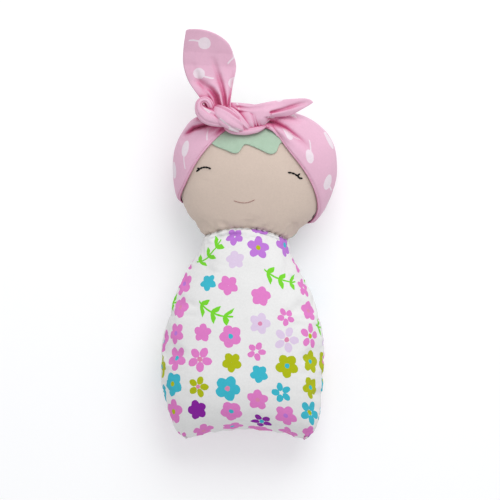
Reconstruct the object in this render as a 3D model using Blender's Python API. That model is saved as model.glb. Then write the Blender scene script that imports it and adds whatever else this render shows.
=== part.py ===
"""A limbless rag doll lying on its back, as the separate pieces that it is sewn and tied from.

The doll's head points along +Y and its face looks up along +Z. The origin is on the surface that it
lies on, under the middle of its back. Lengths are in metres. Each size stands once below, and
everything else is worked out from them.
"""

import math

import bmesh
import bpy
from mathutils import Matrix, Vector

MM = 0.001

# Cloth, thread and clearances
PANEL_CLOTH = 0.8 * MM  # cotton and the stuffing's skin behind it
SCARF_CLOTH = 1.0 * MM  # one layer of the headscarf
FELT = 1.2 * MM
GAP = 0.3 * MM  # between two pieces that touch
THREAD_RADIUS = 0.4 * MM  # sewing thread at the seams
EYE_RADIUS = 0.45 * MM  # embroidery thread
LASH_RADIUS = 0.35 * MM
MOUTH_RADIUS = 0.25 * MM
FLAT_DEPTH = 0.5 * MM  # how far the resting side is pressed flat
OVERRUN = 60 * MM  # how far a cutter passes what it cuts
MERGE_WITHIN = 0.003 * MM  # corners this near are one
SHARP_ANGLE_DEG = 40

# Body, from the base with its two corners to the neck seam
BASE_BELOW_ORIGIN = 54.5 * MM
BASE_TO_WIDEST = 41 * MM
WIDEST_TO_NECK = 88 * MM
BODY_HALF_WIDTH = 50.5 * MM
BODY_FRONT_DEPTH = 28 * MM
BODY_BACK_DEPTH = 26 * MM
BASE_HALF_WIDTH = 34 * MM
BASE_HOLLOW = 5.5 * MM  # the base's edge is drawn in between its corners
BASE_SEAM_SHARES = (-0.75, -0.5, -0.25, 0, 0.25, 0.5, 0.75)
BASE_ROUNDNESS = 2.6
SHOULDER_CURVE = 2.6
SHOULDER_DROP = 1.8

# Neck: the seam, and the cloth on both sides of it that creases when the head moves
NECK_HALF_WIDTH = 26.5 * MM
NECK_FRONT_DEPTH = 19 * MM
NECK_BACK_DEPTH = 17 * MM
NECK_BELOW_SEAM = 9.5 * MM
NECK_ABOVE_SEAM = 9.5 * MM

# Head
NECK_TO_HEAD_WIDEST = 39.5 * MM
HEAD_WIDEST_TO_CROWN = 34 * MM
HEAD_HALF_WIDTH = 46.5 * MM
HEAD_FRONT_DEPTH = 29 * MM
JAW_ROUNDNESS = 1.7
CROWN_ROUNDNESS = 2.5

# The stuffed form's mesh
SIDES = 28
SECTION_ROUNDNESS = 2.2
BASE_STATION_SHARES = (0, 0.03, 0.1, 0.22, 0.4, 0.65)
SHOULDER_STATION_SHARES = (0, 0.2, 0.38, 0.54, 0.68, 0.8, 0.9)
JAW_STATION_SHARES = (0, 0.06, 0.16, 0.32, 0.52, 0.75)
CROWN_STATION_SHARES = (0, 0.3, 0.52, 0.7, 0.83, 0.92, 0.975, 1)

# Face opening of the scarf, from the jaw up to the knot
OPENING_ABOVE_NECK = 9.5 * MM
OPENING_BELOW_CROWN = 10 * MM
OPENING_SIDE_MARGIN = 4.5 * MM  # scarf in front of the head's widest line
OPENING_SHARES = (
    (0.96, -0.6), (0.96, 0), (1, 0.19), (0.9, 0.4), (0.69, 0.64), (0.44, 0.87), (0.24, 1),
    (-0.1, 1.03), (-0.4, 1), (-0.66, 0.81), (-0.89, 0.54), (-1.02, 0.28), (-1.05, 0.14), (-1.05, -0.6),
)
# Lower edge of the scarf across the nape, which sits a little askew
NAPE_LEFT_ABOVE_NECK = 17.5 * MM
NAPE_RIGHT_ABOVE_NECK = 7.5 * MM
# Where the hair shows behind the knot, between the scarf's back edges
CROWN_GAP_LEFT = 9 * MM
CROWN_GAP_BELOW_CROWN = 7 * MM
CROWN_GAP_HALF_WIDTH = 21 * MM
CROWN_GAP_HALF_HEIGHT = 10 * MM
CROWN_GAP_SIDES = 12

# Felt fringe below the knot
FRINGE_LEFT = 6 * MM
FRINGE_BELOW_CROWN = 10 * MM
FRINGE_HALF_WIDTH = 21 * MM
FRINGE_DROP = 15 * MM
FRINGE_SHARES = (
    (-1.05, -0.2), (-1.02, 0.66), (-0.9, 0.77), (-0.61, 0.87), (-0.29, 1.03), (-0.13, 0.93), (-0.01, 0.63),
    (0.12, 0.63), (0.49, 0.81), (0.78, 0.97), (0.96, 0.86), (0.95, 0.53), (0.81, 0.23), (0.8, -0.2),
)

# Embroidered face
LID_SIDES = 8
LASH_SIDES = 6
EYE_HALF_WIDTH = 4 * MM
EYE_RISE = 1.6 * MM
EYE_BELOW_WIDEST = 2.7 * MM
LEFT_EYE_OUT = 30.2 * MM
RIGHT_EYE_OUT = 25.7 * MM
LASH_LENGTH = 2.2 * MM
LASH_ANGLES_DEG = (42, -8)
LID_SHARES = ((-1, -0.2), (-0.6, 0.5), (-0.1, 0.75), (0.4, 0.35), (0.75, -0.4), (1, -1.2))
MOUTH_LEFT = 4.4 * MM
MOUTH_BELOW_WIDEST = 21 * MM
MOUTH_HALF_WIDTH = 6.3 * MM
MOUTH_SAG = 1.3 * MM
MOUTH_SHARES = ((-1, 0.1), (-0.5, -0.6), (0, -1), (0.5, -0.5), (1, 0.8))

# Knot, measured from its middle. Each strip is a path of half widths and half depths
KNOT_SIDES = 14
KNOT_LEFT = 13 * MM
KNOT_BELOW_CROWN = 3.5 * MM
KNOT_LIFT = 8.5 * MM  # its middle above the scarf on the head
WRAP_HALF_LENGTH = 11.5 * MM
WRAP_HALF_WIDTH = 8 * MM
WRAP_HALF_DEPTH = 4.8 * MM
WRAP_ARCH = 6 * MM
WRAP_TURN_DEG = -49
LOOP_LENGTH = 24 * MM
LOOP_HALF_WIDTH = 7.6 * MM
LOOP_HALF_DEPTH = 6.8 * MM
LOOP_RISE = 3 * MM
LOOP_DROP = 5 * MM
FOLD_LENGTH = 22 * MM
FOLD_HALF_WIDTH = 6.2 * MM
FOLD_HALF_DEPTH = 5.4 * MM
FOLD_DROP = 5.5 * MM
UNDER_LEFT = 5.5 * MM
UNDER_BELOW_CROWN = 10.5 * MM
UNDER_HALF_LENGTH = 11 * MM
UNDER_HALF_WIDTH = 2.6 * MM
UNDER_HALF_DEPTH = 2.4 * MM
UNDER_SAG = 2.5 * MM
KNOT_END_SHARES = ((0, 0.45), (0.1, 0.8), (0.3, 1), (0.7, 1), (0.9, 0.8), (1, 0.45))

# Free ends of the scarf. Each hinge line is measured from the knot's middle
END_TUCK = 1.2 * MM  # cloth on the knot's side of the hinge line
EAR_OUT = 12.5 * MM
EAR_UP = 12.4 * MM
EAR_DROP = 5 * MM
EAR_LENGTH = 42 * MM
EAR_HALF_WIDTH = 16.4 * MM
EAR_LEAN = 13 * MM
EAR_CUP = 4 * MM
EAR_SHARES = (
    (0, 0, 0.55), (0.07, 0.03, 0.61), (0.25, 0.25, 0.86), (0.48, 0.34, 1), (0.7, 0.48, 0.93),
    (0.86, 0.62, 0.79), (0.95, 0.82, 0.56), (1, 1, 0.25),
)
TAIL_OUT = 24 * MM
TAIL_UP = 7.3 * MM
TAIL_DROP = 5.5 * MM
TAIL_LENGTH = 25.5 * MM
TAIL_HALF_WIDTH = 5.3 * MM
TAIL_LEAN = 5.3 * MM
TAIL_CUP = 1 * MM
TAIL_SHARES = (
    (0, 0, 0.85), (0.2, 0.08, 0.95), (0.4, 0.19, 1), (0.68, 0.62, 0.68), (0.9, 0.94, 0.32), (1, 1, 0.12),
)

LEAF_COLUMNS = 8

# Worked out from the sizes above
BASE_Y = -BASE_BELOW_ORIGIN
WIDEST_Y = BASE_Y + BASE_TO_WIDEST
NECK_Y = WIDEST_Y + WIDEST_TO_NECK
HEAD_WIDEST_Y = NECK_Y + NECK_TO_HEAD_WIDEST
CROWN_Y = HEAD_WIDEST_Y + HEAD_WIDEST_TO_CROWN
SEAM_Z = BODY_BACK_DEPTH - FLAT_DEPTH
LINING_IN = GAP
LINING_OUT = LINING_IN + SCARF_CLOTH
SCARF_IN = LINING_OUT + GAP
SCARF_OUT = SCARF_IN + SCARF_CLOTH
HEAD_BACK_DEPTH = BODY_BACK_DEPTH - SCARF_OUT  # the scarf and the body lie on one surface
TORSO_END_Y = NECK_Y - NECK_BELOW_SEAM
HEAD_START_Y = NECK_Y + NECK_ABOVE_SEAM
SEAM_GROOVE = THREAD_RADIUS + GAP
SEAM_ROOM = SEAM_GROOVE + GAP  # from the panels' inside to the middle of the thread that joins them
STUFFING_IN = PANEL_CLOTH + GAP
SIDE_SEAM_IN = PANEL_CLOTH + SEAM_ROOM
STUFFING_SIDE_IN = SIDE_SEAM_IN + SEAM_ROOM
OPENING_BASE_Y = NECK_Y + OPENING_ABOVE_NECK
OPENING_HEIGHT = CROWN_Y - OPENING_BELOW_CROWN - OPENING_BASE_Y
OPENING_HALF_WIDTH = HEAD_HALF_WIDTH - OPENING_SIDE_MARGIN
NAPE_LEFT_Y = NECK_Y + NAPE_LEFT_ABOVE_NECK
NAPE_RIGHT_Y = NECK_Y + NAPE_RIGHT_ABOVE_NECK
CROWN_GAP_Y = CROWN_Y - CROWN_GAP_BELOW_CROWN
FRINGE_TOP_Y = CROWN_Y - FRINGE_BELOW_CROWN
EYE_Y = HEAD_WIDEST_Y - EYE_BELOW_WIDEST
MOUTH_Y = HEAD_WIDEST_Y - MOUTH_BELOW_WIDEST
KNOT_Y = CROWN_Y - KNOT_BELOW_CROWN
UNDER_Y = CROWN_Y - UNDER_BELOW_CROWN
HINGE_CLEAR_RADIUS = math.hypot(END_TUCK, SCARF_CLOTH + GAP) + GAP


def mix(a, b, share):
    return a + (b - a) * share


def rounded(share, power):
    """Rises from 0 to 1 as a quarter of a round does."""
    return math.sqrt(max(0, 1 - (1 - share) ** power))


def superround(share, power):
    """Falls from 1 to 0 as a quarter of a rounded square does."""
    return max(0, 1 - share**power) ** (1 / power)


def size_at(y, grow, side):
    """Half width, front depth and back depth of the form at y, grown by grow, and by side at its seam."""
    body = (BODY_HALF_WIDTH + side, BODY_FRONT_DEPTH + grow, BODY_BACK_DEPTH + grow)
    neck = (NECK_HALF_WIDTH + side, NECK_FRONT_DEPTH + grow, NECK_BACK_DEPTH + grow)
    head = (HEAD_HALF_WIDTH + side, HEAD_FRONT_DEPTH + grow, HEAD_BACK_DEPTH + grow)
    if y < WIDEST_Y:
        low = BASE_Y - side
        share = min(1, max(0, (y - low) / (WIDEST_Y - low)))
        wide = mix(BASE_HALF_WIDTH + side, body[0], rounded(share, BASE_ROUNDNESS))
        deep = rounded(share, 2)
        return wide, body[1] * deep, body[2] * deep
    if y < NECK_Y:
        share = (1 - ((y - WIDEST_Y) / WIDEST_TO_NECK) ** SHOULDER_CURVE) ** SHOULDER_DROP
        return tuple(mix(n, b, share) for n, b in zip(neck, body))
    if y < HEAD_WIDEST_Y:
        share = rounded((y - NECK_Y) / NECK_TO_HEAD_WIDEST, JAW_ROUNDNESS)
        return tuple(mix(n, h, share) for n, h in zip(neck, head))
    share = min(1, (y - HEAD_WIDEST_Y) / (CROWN_Y + side - HEAD_WIDEST_Y))
    wide, deep = superround(share, CROWN_ROUNDNESS), superround(share, SECTION_ROUNDNESS)
    return head[0] * wide, head[1] * deep, head[2] * deep


def section_ys(side):
    """Where the form's sections lie along the doll."""
    ys = [mix(BASE_Y - side, WIDEST_Y, share) for share in BASE_STATION_SHARES]
    ys += [mix(WIDEST_Y, NECK_Y, share) for share in SHOULDER_STATION_SHARES]
    ys += [mix(NECK_Y, HEAD_WIDEST_Y, share) for share in JAW_STATION_SHARES]
    return ys + [mix(HEAD_WIDEST_Y, CROWN_Y + side, share) for share in CROWN_STATION_SHARES]


def drawn_in(x, y):
    """How far the base's edge is pulled up between its two corners."""
    middle = 1 - min(1, abs(x) / BASE_HALF_WIDTH) ** 2
    near = max(0, (WIDEST_Y - y) / BASE_TO_WIDEST)
    return BASE_HOLLOW * middle * near**3


def form_point(angle, y, grow, side):
    wide, front, back = size_at(y, grow, side)
    c, s = math.cos(angle), math.sin(angle)
    power = 2 / SECTION_ROUNDNESS
    x = math.copysign(wide * abs(c) ** power, c)
    z = math.copysign((front if s > 0 else back) * abs(s) ** power, s)
    return Vector((x, y + drawn_in(x, y), SEAM_Z + z))


def front_z(x, y, grow):
    """Height of the form's front at a point of the plan, grown by grow."""
    wide, front, _ = size_at(y, grow, grow)
    return SEAM_Z + front * superround(min(1, abs(x) / wide), SECTION_ROUNDNESS)


KNOT = Vector((-KNOT_LEFT, KNOT_Y, front_z(-KNOT_LEFT, KNOT_Y, SCARF_OUT) + KNOT_LIFT))
EAR_HINGE = KNOT + Vector((-EAR_OUT, EAR_UP, -EAR_DROP))
TAIL_HINGE = KNOT + Vector((TAIL_OUT, TAIL_UP, -TAIL_DROP))
NECK_PIVOT = Vector((0, NECK_Y, SEAM_Z))


def material(name, colour, roughness):
    made = bpy.data.materials.new(name)
    made.use_nodes = True
    shader = made.node_tree.nodes["Principled BSDF"]
    shader.inputs["Base Color"].default_value = (*colour, 1)
    shader.inputs["Roughness"].default_value = roughness
    shader.inputs["Metallic"].default_value = 0
    made.diffuse_color = (*colour, 1)
    return made


def add(name, bm, finish=None):
    """Closes a bmesh into an object of this name."""
    bmesh.ops.remove_doubles(bm, verts=bm.verts, dist=MERGE_WITHIN)
    bmesh.ops.recalc_face_normals(bm, faces=bm.faces)
    mesh = bpy.data.meshes.new(name)
    bm.to_mesh(mesh)
    bm.free()
    obj = bpy.data.objects.new(name, mesh)
    bpy.context.collection.objects.link(obj)
    if finish:
        mesh.materials.append(finish)
        mesh.shade_smooth()
        mesh.set_sharp_from_angle(angle=math.radians(SHARP_ANGLE_DEG))
    else:
        obj.hide_render = True
        obj.display_type = "WIRE"
    return obj


def wrapped_grid(columns, rows, place):
    """A grid rolled until its long edges meet, with its ends closed. place sets each corner."""
    bm = bmesh.new()
    bmesh.ops.create_grid(bm, x_segments=columns, y_segments=rows - 1, size=1)
    for v in bm.verts:
        v.co = place((v.co.x + 1) / 2, round((v.co.y + 1) / 2 * (rows - 1)))
    bmesh.ops.remove_doubles(bm, verts=bm.verts, dist=MERGE_WITHIN)
    bmesh.ops.holes_fill(bm, edges=[e for e in bm.edges if e.is_boundary], sides=0)
    return bm


def form(name, grow, side=None, finish=None):
    """The whole stuffed form, base to crown, with its surface moved outwards by grow."""
    side = grow if side is None else side
    ys = section_ys(side)
    skin = wrapped_grid(SIDES, len(ys), lambda turn, row: form_point(math.tau * turn, ys[row], grow, side))
    return add(name, skin, finish)


def prism(name, outline, low, high):
    """A cutter: an outline in plan, from one height to another."""
    bm = bmesh.new()
    base = bm.faces.new([bm.verts.new((x, y, low)) for x, y in outline])
    top = bmesh.ops.extrude_face_region(bm, geom=[base])
    moved = [v for v in top["geom"] if isinstance(v, bmesh.types.BMVert)]
    bmesh.ops.translate(bm, verts=moved, vec=(0, 0, high - low))
    return add(name, bm)


def slab(name, low_y, high_y, low_z, high_z):
    """A cutter across the whole doll, between two distances along it and two heights."""
    wide = BODY_HALF_WIDTH + OVERRUN
    return prism(name, [(-wide, low_y), (wide, low_y), (wide, high_y), (-wide, high_y)], low_z, high_z)


def rod(name, centre, radius, along):
    """A cutter: a round bar through centre along an axis."""
    bm = bmesh.new()
    turn = Vector((0, 0, 1)).rotation_difference(along).to_matrix().to_4x4()
    bmesh.ops.create_cone(
        bm, cap_ends=True, segments=KNOT_SIDES, radius1=radius, radius2=radius, depth=OVERRUN,
        matrix=Matrix.Translation(centre) @ turn,
    )
    return add(name, bm)


def combine(obj, other, operation):
    step = obj.modifiers.new(other.name, "BOOLEAN")
    step.operation = operation
    step.solver = "EXACT"
    step.object = other
    return obj


def cut(obj, *cutters):
    for other in cutters:
        combine(obj, other, "DIFFERENCE")
    return obj


def keep(obj, *regions):
    for other in regions:
        combine(obj, other, "INTERSECT")
    return obj


def thread(name, points, radius, finish):
    """A thread laid along points, with closed ends."""
    curve = bpy.data.curves.new(name, "CURVE")
    curve.dimensions = "3D"
    curve.bevel_depth = radius
    curve.bevel_resolution = 1
    curve.use_fill_caps = True
    spline = curve.splines.new("POLY")
    spline.points.add(len(points) - 1)
    for slot, p in zip(spline.points, points):
        slot.co = (*p, 1)
    curve.materials.append(finish)
    obj = bpy.data.objects.new(name, curve)
    bpy.context.collection.objects.link(obj)
    return obj


def tube(name, points, halves, finish=None, sides=KNOT_SIDES):
    """A closed strip along points. halves gives its half width in plan and half depth at each."""
    def place(share, row):
        before, after = points[max(0, row - 1)], points[min(len(points) - 1, row + 1)]
        along = (after - before).normalized()
        across = along.cross(Vector((0, 0, 1))).normalized()
        up = across.cross(along)
        wide, deep = halves[row]
        angle = math.tau * share
        return points[row] + across * wide * math.cos(angle) + up * deep * math.sin(angle)

    return add(name, wrapped_grid(sides, len(points), place), finish)


FABRIC = {
    "floral": material("floral cotton", (0.9, 0.88, 0.87), 0.9),
    "face": material("face cotton", (0.63, 0.51, 0.42), 0.9),
    "mint": material("mint felt", (0.52, 0.69, 0.55), 0.95),
    "scarf": material("scarf cotton", (0.76, 0.51, 0.63), 0.85),
    "lining": material("scarf lining", (0.82, 0.62, 0.71), 0.85),
    "filling": material("fibre filling", (0.86, 0.86, 0.84), 0.95),
    "white": material("sewing thread", (0.85, 0.84, 0.82), 0.7),
    "black": material("black thread", (0.01, 0.01, 0.01), 0.6),
    "rose": material("rose thread", (0.3, 0.13, 0.11), 0.6),
}


def shell(name, outside, inside, finish, *regions):
    """One layer of cloth of the form between two surfaces, within regions."""
    layer = form(name, outside, finish=FABRIC[finish])
    cut(layer, form(name + ".inside", inside))
    return keep(layer, *regions)


def make_torso(above, below, floor):
    """The floral body: two panels, the filling and the thread that joins them."""
    end = slab("torso.region", BASE_Y - OVERRUN, TORSO_END_Y, -OVERRUN, SEAM_Z + OVERRUN)
    shell("body_front_panel", 0, -PANEL_CLOTH, "floral", above, end)
    back = shell("body_back_panel", 0, -PANEL_CLOTH, "floral", below, end)
    cut(back, floor)
    filling = form("body_stuffing", -STUFFING_IN, -STUFFING_SIDE_IN, FABRIC["filling"])
    keep(filling, end)
    thread("body_side_seam", body_seam_points(), THREAD_RADIUS, FABRIC["white"])


def side_seam_half(ys):
    """Inside the right-hand edge of the form, at each of ys."""
    return [form_point(0, y, -SIDE_SEAM_IN, -SIDE_SEAM_IN) for y in ys]


def mirrored(points):
    return [Vector((-p.x, p.y, p.z)) for p in points]


def body_seam_points():
    """Inside the body's edge: down its left side, across the base and up its right side."""
    ys = [y for y in section_ys(-SIDE_SEAM_IN) if y < TORSO_END_Y - GAP] + [TORSO_END_Y - GAP]
    right = side_seam_half(ys)
    across = [right[0].x * share for share in BASE_SEAM_SHARES]
    base = [Vector((x, ys[0] + drawn_in(x, ys[0]), SEAM_Z)) for x in across]
    return mirrored(right[::-1]) + base + right


def make_neck():
    """The cloth and filling either side of the neck seam, which crease, and the thread in the seam."""
    low = slab("neck.below", TORSO_END_Y + GAP, NECK_Y - SEAM_GROOVE, -OVERRUN, SEAM_Z + OVERRUN)
    high = slab("neck.above", NECK_Y + SEAM_GROOVE, HEAD_START_Y - GAP, -OVERRUN, SEAM_Z + OVERRUN)
    whole = slab("neck.region", TORSO_END_Y + GAP, HEAD_START_Y - GAP, -OVERRUN, SEAM_Z + OVERRUN)
    shell("neck_lower_cover", 0, -PANEL_CLOTH, "floral", low)
    shell("neck_upper_cover", 0, -PANEL_CLOTH, "face", high)
    keep(form("neck_stuffing", -STUFFING_SIDE_IN, finish=FABRIC["filling"]), whole)
    depth = -THREAD_RADIUS
    ring = [form_point(math.tau * k / SIDES, NECK_Y, depth, depth) for k in range(SIDES)]
    seam = thread("neck_seam_thread", ring, THREAD_RADIUS, FABRIC["white"])
    seam.data.splines[0].use_cyclic_u = True


def make_head(above, below):
    """The head's two panels, its filling and the thread that joins them."""
    start = slab("head.region", HEAD_START_Y, CROWN_Y + OVERRUN, -OVERRUN, SEAM_Z + OVERRUN)
    shell("head_front_panel", 0, -PANEL_CLOTH, "face", above, start)
    shell("head_back_panel", 0, -PANEL_CLOTH, "mint", below, start)
    filling = form("head_stuffing", -STUFFING_IN, -STUFFING_SIDE_IN, FABRIC["filling"])
    keep(filling, start)
    ys = [HEAD_START_Y + GAP] + [y for y in section_ys(-SIDE_SEAM_IN) if y > HEAD_START_Y + GAP]
    right = side_seam_half(ys)
    thread("head_side_seam", right + mirrored(right[-2::-1]), THREAD_RADIUS, FABRIC["white"])


def opening_outline(inset):
    wide, high = OPENING_HALF_WIDTH - inset, OPENING_HEIGHT - inset
    return [(wide * x, OPENING_BASE_Y + high * y) for x, y in OPENING_SHARES]


def make_scarf(floor):
    """The scarf round the head: the printed cloth and its lining, open over the face and behind the knot."""
    face = prism("scarf.face", opening_outline(0), SEAM_Z, SEAM_Z + OVERRUN)
    wide = HEAD_HALF_WIDTH + OVERRUN
    slope = (NAPE_RIGHT_Y - NAPE_LEFT_Y) / (2 * HEAD_HALF_WIDTH)
    middle = (NAPE_RIGHT_Y + NAPE_LEFT_Y) / 2
    nape_line = [(-wide, middle - slope * wide), (wide, middle + slope * wide)]
    nape = prism("scarf.nape", nape_line + [(wide, CROWN_Y + OVERRUN), (-wide, CROWN_Y + OVERRUN)],
                 -OVERRUN, SEAM_Z + OVERRUN)
    turns = [math.tau * k / CROWN_GAP_SIDES for k in range(CROWN_GAP_SIDES)]
    ring = [(-CROWN_GAP_LEFT + CROWN_GAP_HALF_WIDTH * math.cos(turn),
             CROWN_GAP_Y + CROWN_GAP_HALF_HEIGHT * math.sin(turn)) for turn in turns]
    crown = prism("scarf.crown", ring, -OVERRUN, SEAM_Z - GAP)
    for name, outside, inside, finish in (
        ("scarf_band", SCARF_OUT, SCARF_IN, "scarf"),
        ("scarf_lining", LINING_OUT, LINING_IN, "lining"),
    ):
        cut(shell(name, outside, inside, finish, nape), face, crown, floor)


def make_fringe():
    """Felt hair below the knot, cut in two zigzag lobes, inside the face opening."""
    outline = [(-FRINGE_LEFT + FRINGE_HALF_WIDTH * x, FRINGE_TOP_Y - FRINGE_DROP * y) for x, y in FRINGE_SHARES]
    lobes = prism("fringe.lobes", outline, SEAM_Z, SEAM_Z + OVERRUN)
    inside = prism("fringe.opening", opening_outline(GAP), SEAM_Z, SEAM_Z + OVERRUN)
    shell("hair_fringe", GAP + FELT, GAP, "mint", lobes, inside)


def on_face(x, y, radius):
    return Vector((x, y, front_z(x, y, GAP + radius)))


def make_eye(name, middle_x, outward):
    """A closed eye: the lid's arc and two short lashes at its outer end."""
    def lid_point(across, up):
        return middle_x + outward * EYE_HALF_WIDTH * across, EYE_Y + EYE_RISE * up

    points = [on_face(*lid_point(*share), EYE_RADIUS) for share in LID_SHARES]
    lid = tube(name, points, [(EYE_RADIUS, EYE_RADIUS)] * len(points), FABRIC["black"], sides=LID_SIDES)
    starts = (LID_SHARES[-2], LID_SHARES[-1])
    for k, (share, degrees) in enumerate(zip(starts, LASH_ANGLES_DEG)):
        x, y = lid_point(*share)
        reach = LASH_LENGTH * math.cos(math.radians(degrees)), LASH_LENGTH * math.sin(math.radians(degrees))
        ends = [(x, y), (x + outward * reach[0], y + reach[1])]
        route = [on_face(*p, EYE_RADIUS) for p in ends]
        lash = tube(f"{name}.lash{k}", route, [(LASH_RADIUS, LASH_RADIUS)] * 2, sides=LASH_SIDES)
        combine(lid, lash, "UNION")


def make_face():
    make_eye("left_eye", -LEFT_EYE_OUT, -1)
    make_eye("right_eye", RIGHT_EYE_OUT, 1)
    points = [on_face(-MOUTH_LEFT + MOUTH_HALF_WIDTH * x, MOUTH_Y + MOUTH_SAG * y, MOUTH_RADIUS)
              for x, y in MOUTH_SHARES]
    thread("mouth", points, MOUTH_RADIUS, FABRIC["rose"])


def knot_strip(name, points, half_width, half_depth, grow=0.0, finish=None):
    """A rounded length of the scarf in the knot. grow makes it larger all round, as a cutter."""
    start, middle, end = points
    lift = middle - start.lerp(end, 0.5)
    rows = [start.lerp(end, share) + lift * (1 - (2 * share - 1) ** 2) for share, _ in KNOT_END_SHARES]
    stretch = (end - start).normalized() * grow
    rows[0] -= stretch
    rows[-1] += stretch
    halves = [(half_width * size + grow, half_depth * size + grow) for _, size in KNOT_END_SHARES]
    return tube(name, rows, halves, finish)


def knot_paths():
    """Start, middle and end of each strip of the knot, with its half width and half depth."""
    turn = math.radians(WRAP_TURN_DEG)
    run = Vector((math.cos(turn), math.sin(turn), 0)) * WRAP_HALF_LENGTH
    arch = Vector((0, 0, WRAP_ARCH))
    loop_end = KNOT + Vector((-LOOP_LENGTH, LOOP_RISE, -LOOP_DROP))
    fold_end = KNOT + Vector((FOLD_LENGTH, 0, -FOLD_DROP))
    under = [Vector((-UNDER_LEFT + UNDER_HALF_LENGTH * way, UNDER_Y - UNDER_SAG * (1 - way**2), 0))
             for way in (-1, 0, 1)]
    for p in under:
        p.z = front_z(p.x, p.y, SCARF_OUT + UNDER_HALF_DEPTH)
    over = (KNOT - run - arch, KNOT + arch, KNOT + run - arch)
    return {
        "scarf_knot_under": (under, UNDER_HALF_WIDTH, UNDER_HALF_DEPTH),
        "scarf_knot_wrap": (over, WRAP_HALF_WIDTH, WRAP_HALF_DEPTH),
        "scarf_knot_loop": ((KNOT, KNOT.lerp(loop_end, 0.5), loop_end), LOOP_HALF_WIDTH, LOOP_HALF_DEPTH),
        "scarf_knot_fold": ((KNOT, KNOT.lerp(fold_end, 0.5), fold_end), FOLD_HALF_WIDTH, FOLD_HALF_DEPTH),
    }


def make_knot():
    """The knot above the forehead. Each strip is cut by those made before it and by the head under it."""
    head = form("knot.head", SCARF_OUT + GAP)
    ear_room = rod("knot.ear_room", EAR_HINGE, HINGE_CLEAR_RADIUS, Vector((1, 0, 0)))
    tail_room = rod("knot.tail_room", TAIL_HINGE, HINGE_CLEAR_RADIUS, Vector((0, 1, 0)))
    over = []
    for name, (points, wide, deep) in knot_paths().items():
        strip = knot_strip(name, points, wide, deep, finish=FABRIC["scarf"])
        cut(strip, head, ear_room, tail_room, *over)
        over.append(knot_strip(name + ".room", points, wide, deep, grow=GAP))


def leaf(name, shares, sizes, hinge, axes, layer):
    """One layer of a free end of the scarf. shares give its length, lean and half width at each row."""
    length, half_width, lean, cup = sizes
    across, along, up = axes
    bm = bmesh.new()
    rows = len(shares)
    bmesh.ops.create_grid(bm, x_segments=LEAF_COLUMNS, y_segments=rows - 1, size=1)
    for v in bm.verts:
        reach, drift, wide = shares[round((v.co.y + 1) / 2 * (rows - 1))]
        u = v.co.x
        rise = cup * (1 - u * u) * math.sin(math.pi * reach * (2 - reach))
        place = across * (half_width * wide * u + lean * drift) + along * (length * reach - END_TUCK)
        v.co = hinge + place + up * (rise + layer * GAP / 2)
    return add(name, bm, FABRIC["scarf" if layer > 0 else "lining"])


def thicken(obj, thickness, outward):
    wall = obj.modifiers.new("cloth", "SOLIDIFY")
    wall.thickness = thickness
    wall.offset = outward
    wall.use_even_offset = True
    return obj


def make_ends():
    """The two free ends of the scarf, each of two layers that are sewn together at their edges."""
    x, y, z = Vector((1, 0, 0)), Vector((0, 1, 0)), Vector((0, 0, 1))
    ear = (EAR_LENGTH, EAR_HALF_WIDTH, -EAR_LEAN, EAR_CUP)
    tail = (TAIL_LENGTH, TAIL_HALF_WIDTH, TAIL_LEAN, TAIL_CUP)
    for layer, word in ((1, "front"), (-1, "back")):
        piece = leaf(f"scarf_ear_{word}", EAR_SHARES, ear, EAR_HINGE, (x, y, z), layer)
        thicken(piece, SCARF_CLOTH, layer * facing(piece))
        piece = leaf(f"scarf_tail_{word}", TAIL_SHARES, tail, TAIL_HINGE, (y, x, z), layer)
        thicken(piece, SCARF_CLOTH, layer * facing(piece))


def facing(obj):
    """1 where the sheet's faces look up, -1 where they look down."""
    return 1 if obj.data.polygons[0].normal.z > 0 else -1


def hang_on(name, place, pieces, parent=None):
    """An empty on a joint's axis, which the pieces that move there follow."""
    pivot = bpy.data.objects.new(name, None)
    pivot.location = place
    bpy.context.collection.objects.link(pivot)
    if parent:
        pivot.parent = parent
        pivot.matrix_parent_inverse = Matrix.Translation(parent.location).inverted()
    for piece in pieces:
        obj = bpy.data.objects[piece]
        obj.parent = pivot
        obj.matrix_parent_inverse = Matrix.Translation(place).inverted()
    return pivot


def hang_pieces():
    """The neck nods and then tilts, and the scarf's two ends turn on the head."""
    nod = hang_on("neck_nod", NECK_PIVOT, ["neck_lower_cover", "neck_stuffing", "neck_seam_thread"])
    head = ["neck_upper_cover", "head_front_panel", "head_back_panel", "head_stuffing", "head_side_seam",
            "hair_fringe", "left_eye", "right_eye", "mouth", "scarf_band", "scarf_lining", *knot_paths()]
    tilt = hang_on("neck_tilt", NECK_PIVOT, head, nod)
    hang_on("scarf_ear_flop", EAR_HINGE, ["scarf_ear_front", "scarf_ear_back"], tilt)
    hang_on("scarf_tail_lift", TAIL_HINGE, ["scarf_tail_front", "scarf_tail_back"], tilt)


def main():
    above = slab("front.region", BASE_Y - OVERRUN, CROWN_Y + OVERRUN, SEAM_Z + GAP / 2, SEAM_Z + OVERRUN)
    below = slab("back.region", BASE_Y - OVERRUN, CROWN_Y + OVERRUN, -OVERRUN, SEAM_Z - GAP / 2)
    floor = slab("floor", BASE_Y - OVERRUN, CROWN_Y + OVERRUN, -OVERRUN, 0)
    make_torso(above, below, floor)
    make_neck()
    make_head(above, below)
    make_scarf(floor)
    make_fringe()
    make_face()
    make_knot()
    make_ends()
    hang_pieces()


for startup in list(bpy.data.objects):
    bpy.data.objects.remove(startup)
main()
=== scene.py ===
# %% [markdown]
# # A limbless rag doll in a tied headscarf
#
# The doll is two flat panels of cotton sewn round their edges, turned right side out through a gap
# and stuffed with fibre. A seam across its neck joins the floral body to the plain face. The packed
# CAD model is the fixed frame here: each soft piece below is built at its place in that frame, and
# then stands for the plain solids there.

import math

import bmesh
import bpy
import numpy as np
from mathutils import Matrix, Vector, noise
from mathutils.bvhtree import BVHTree


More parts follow.
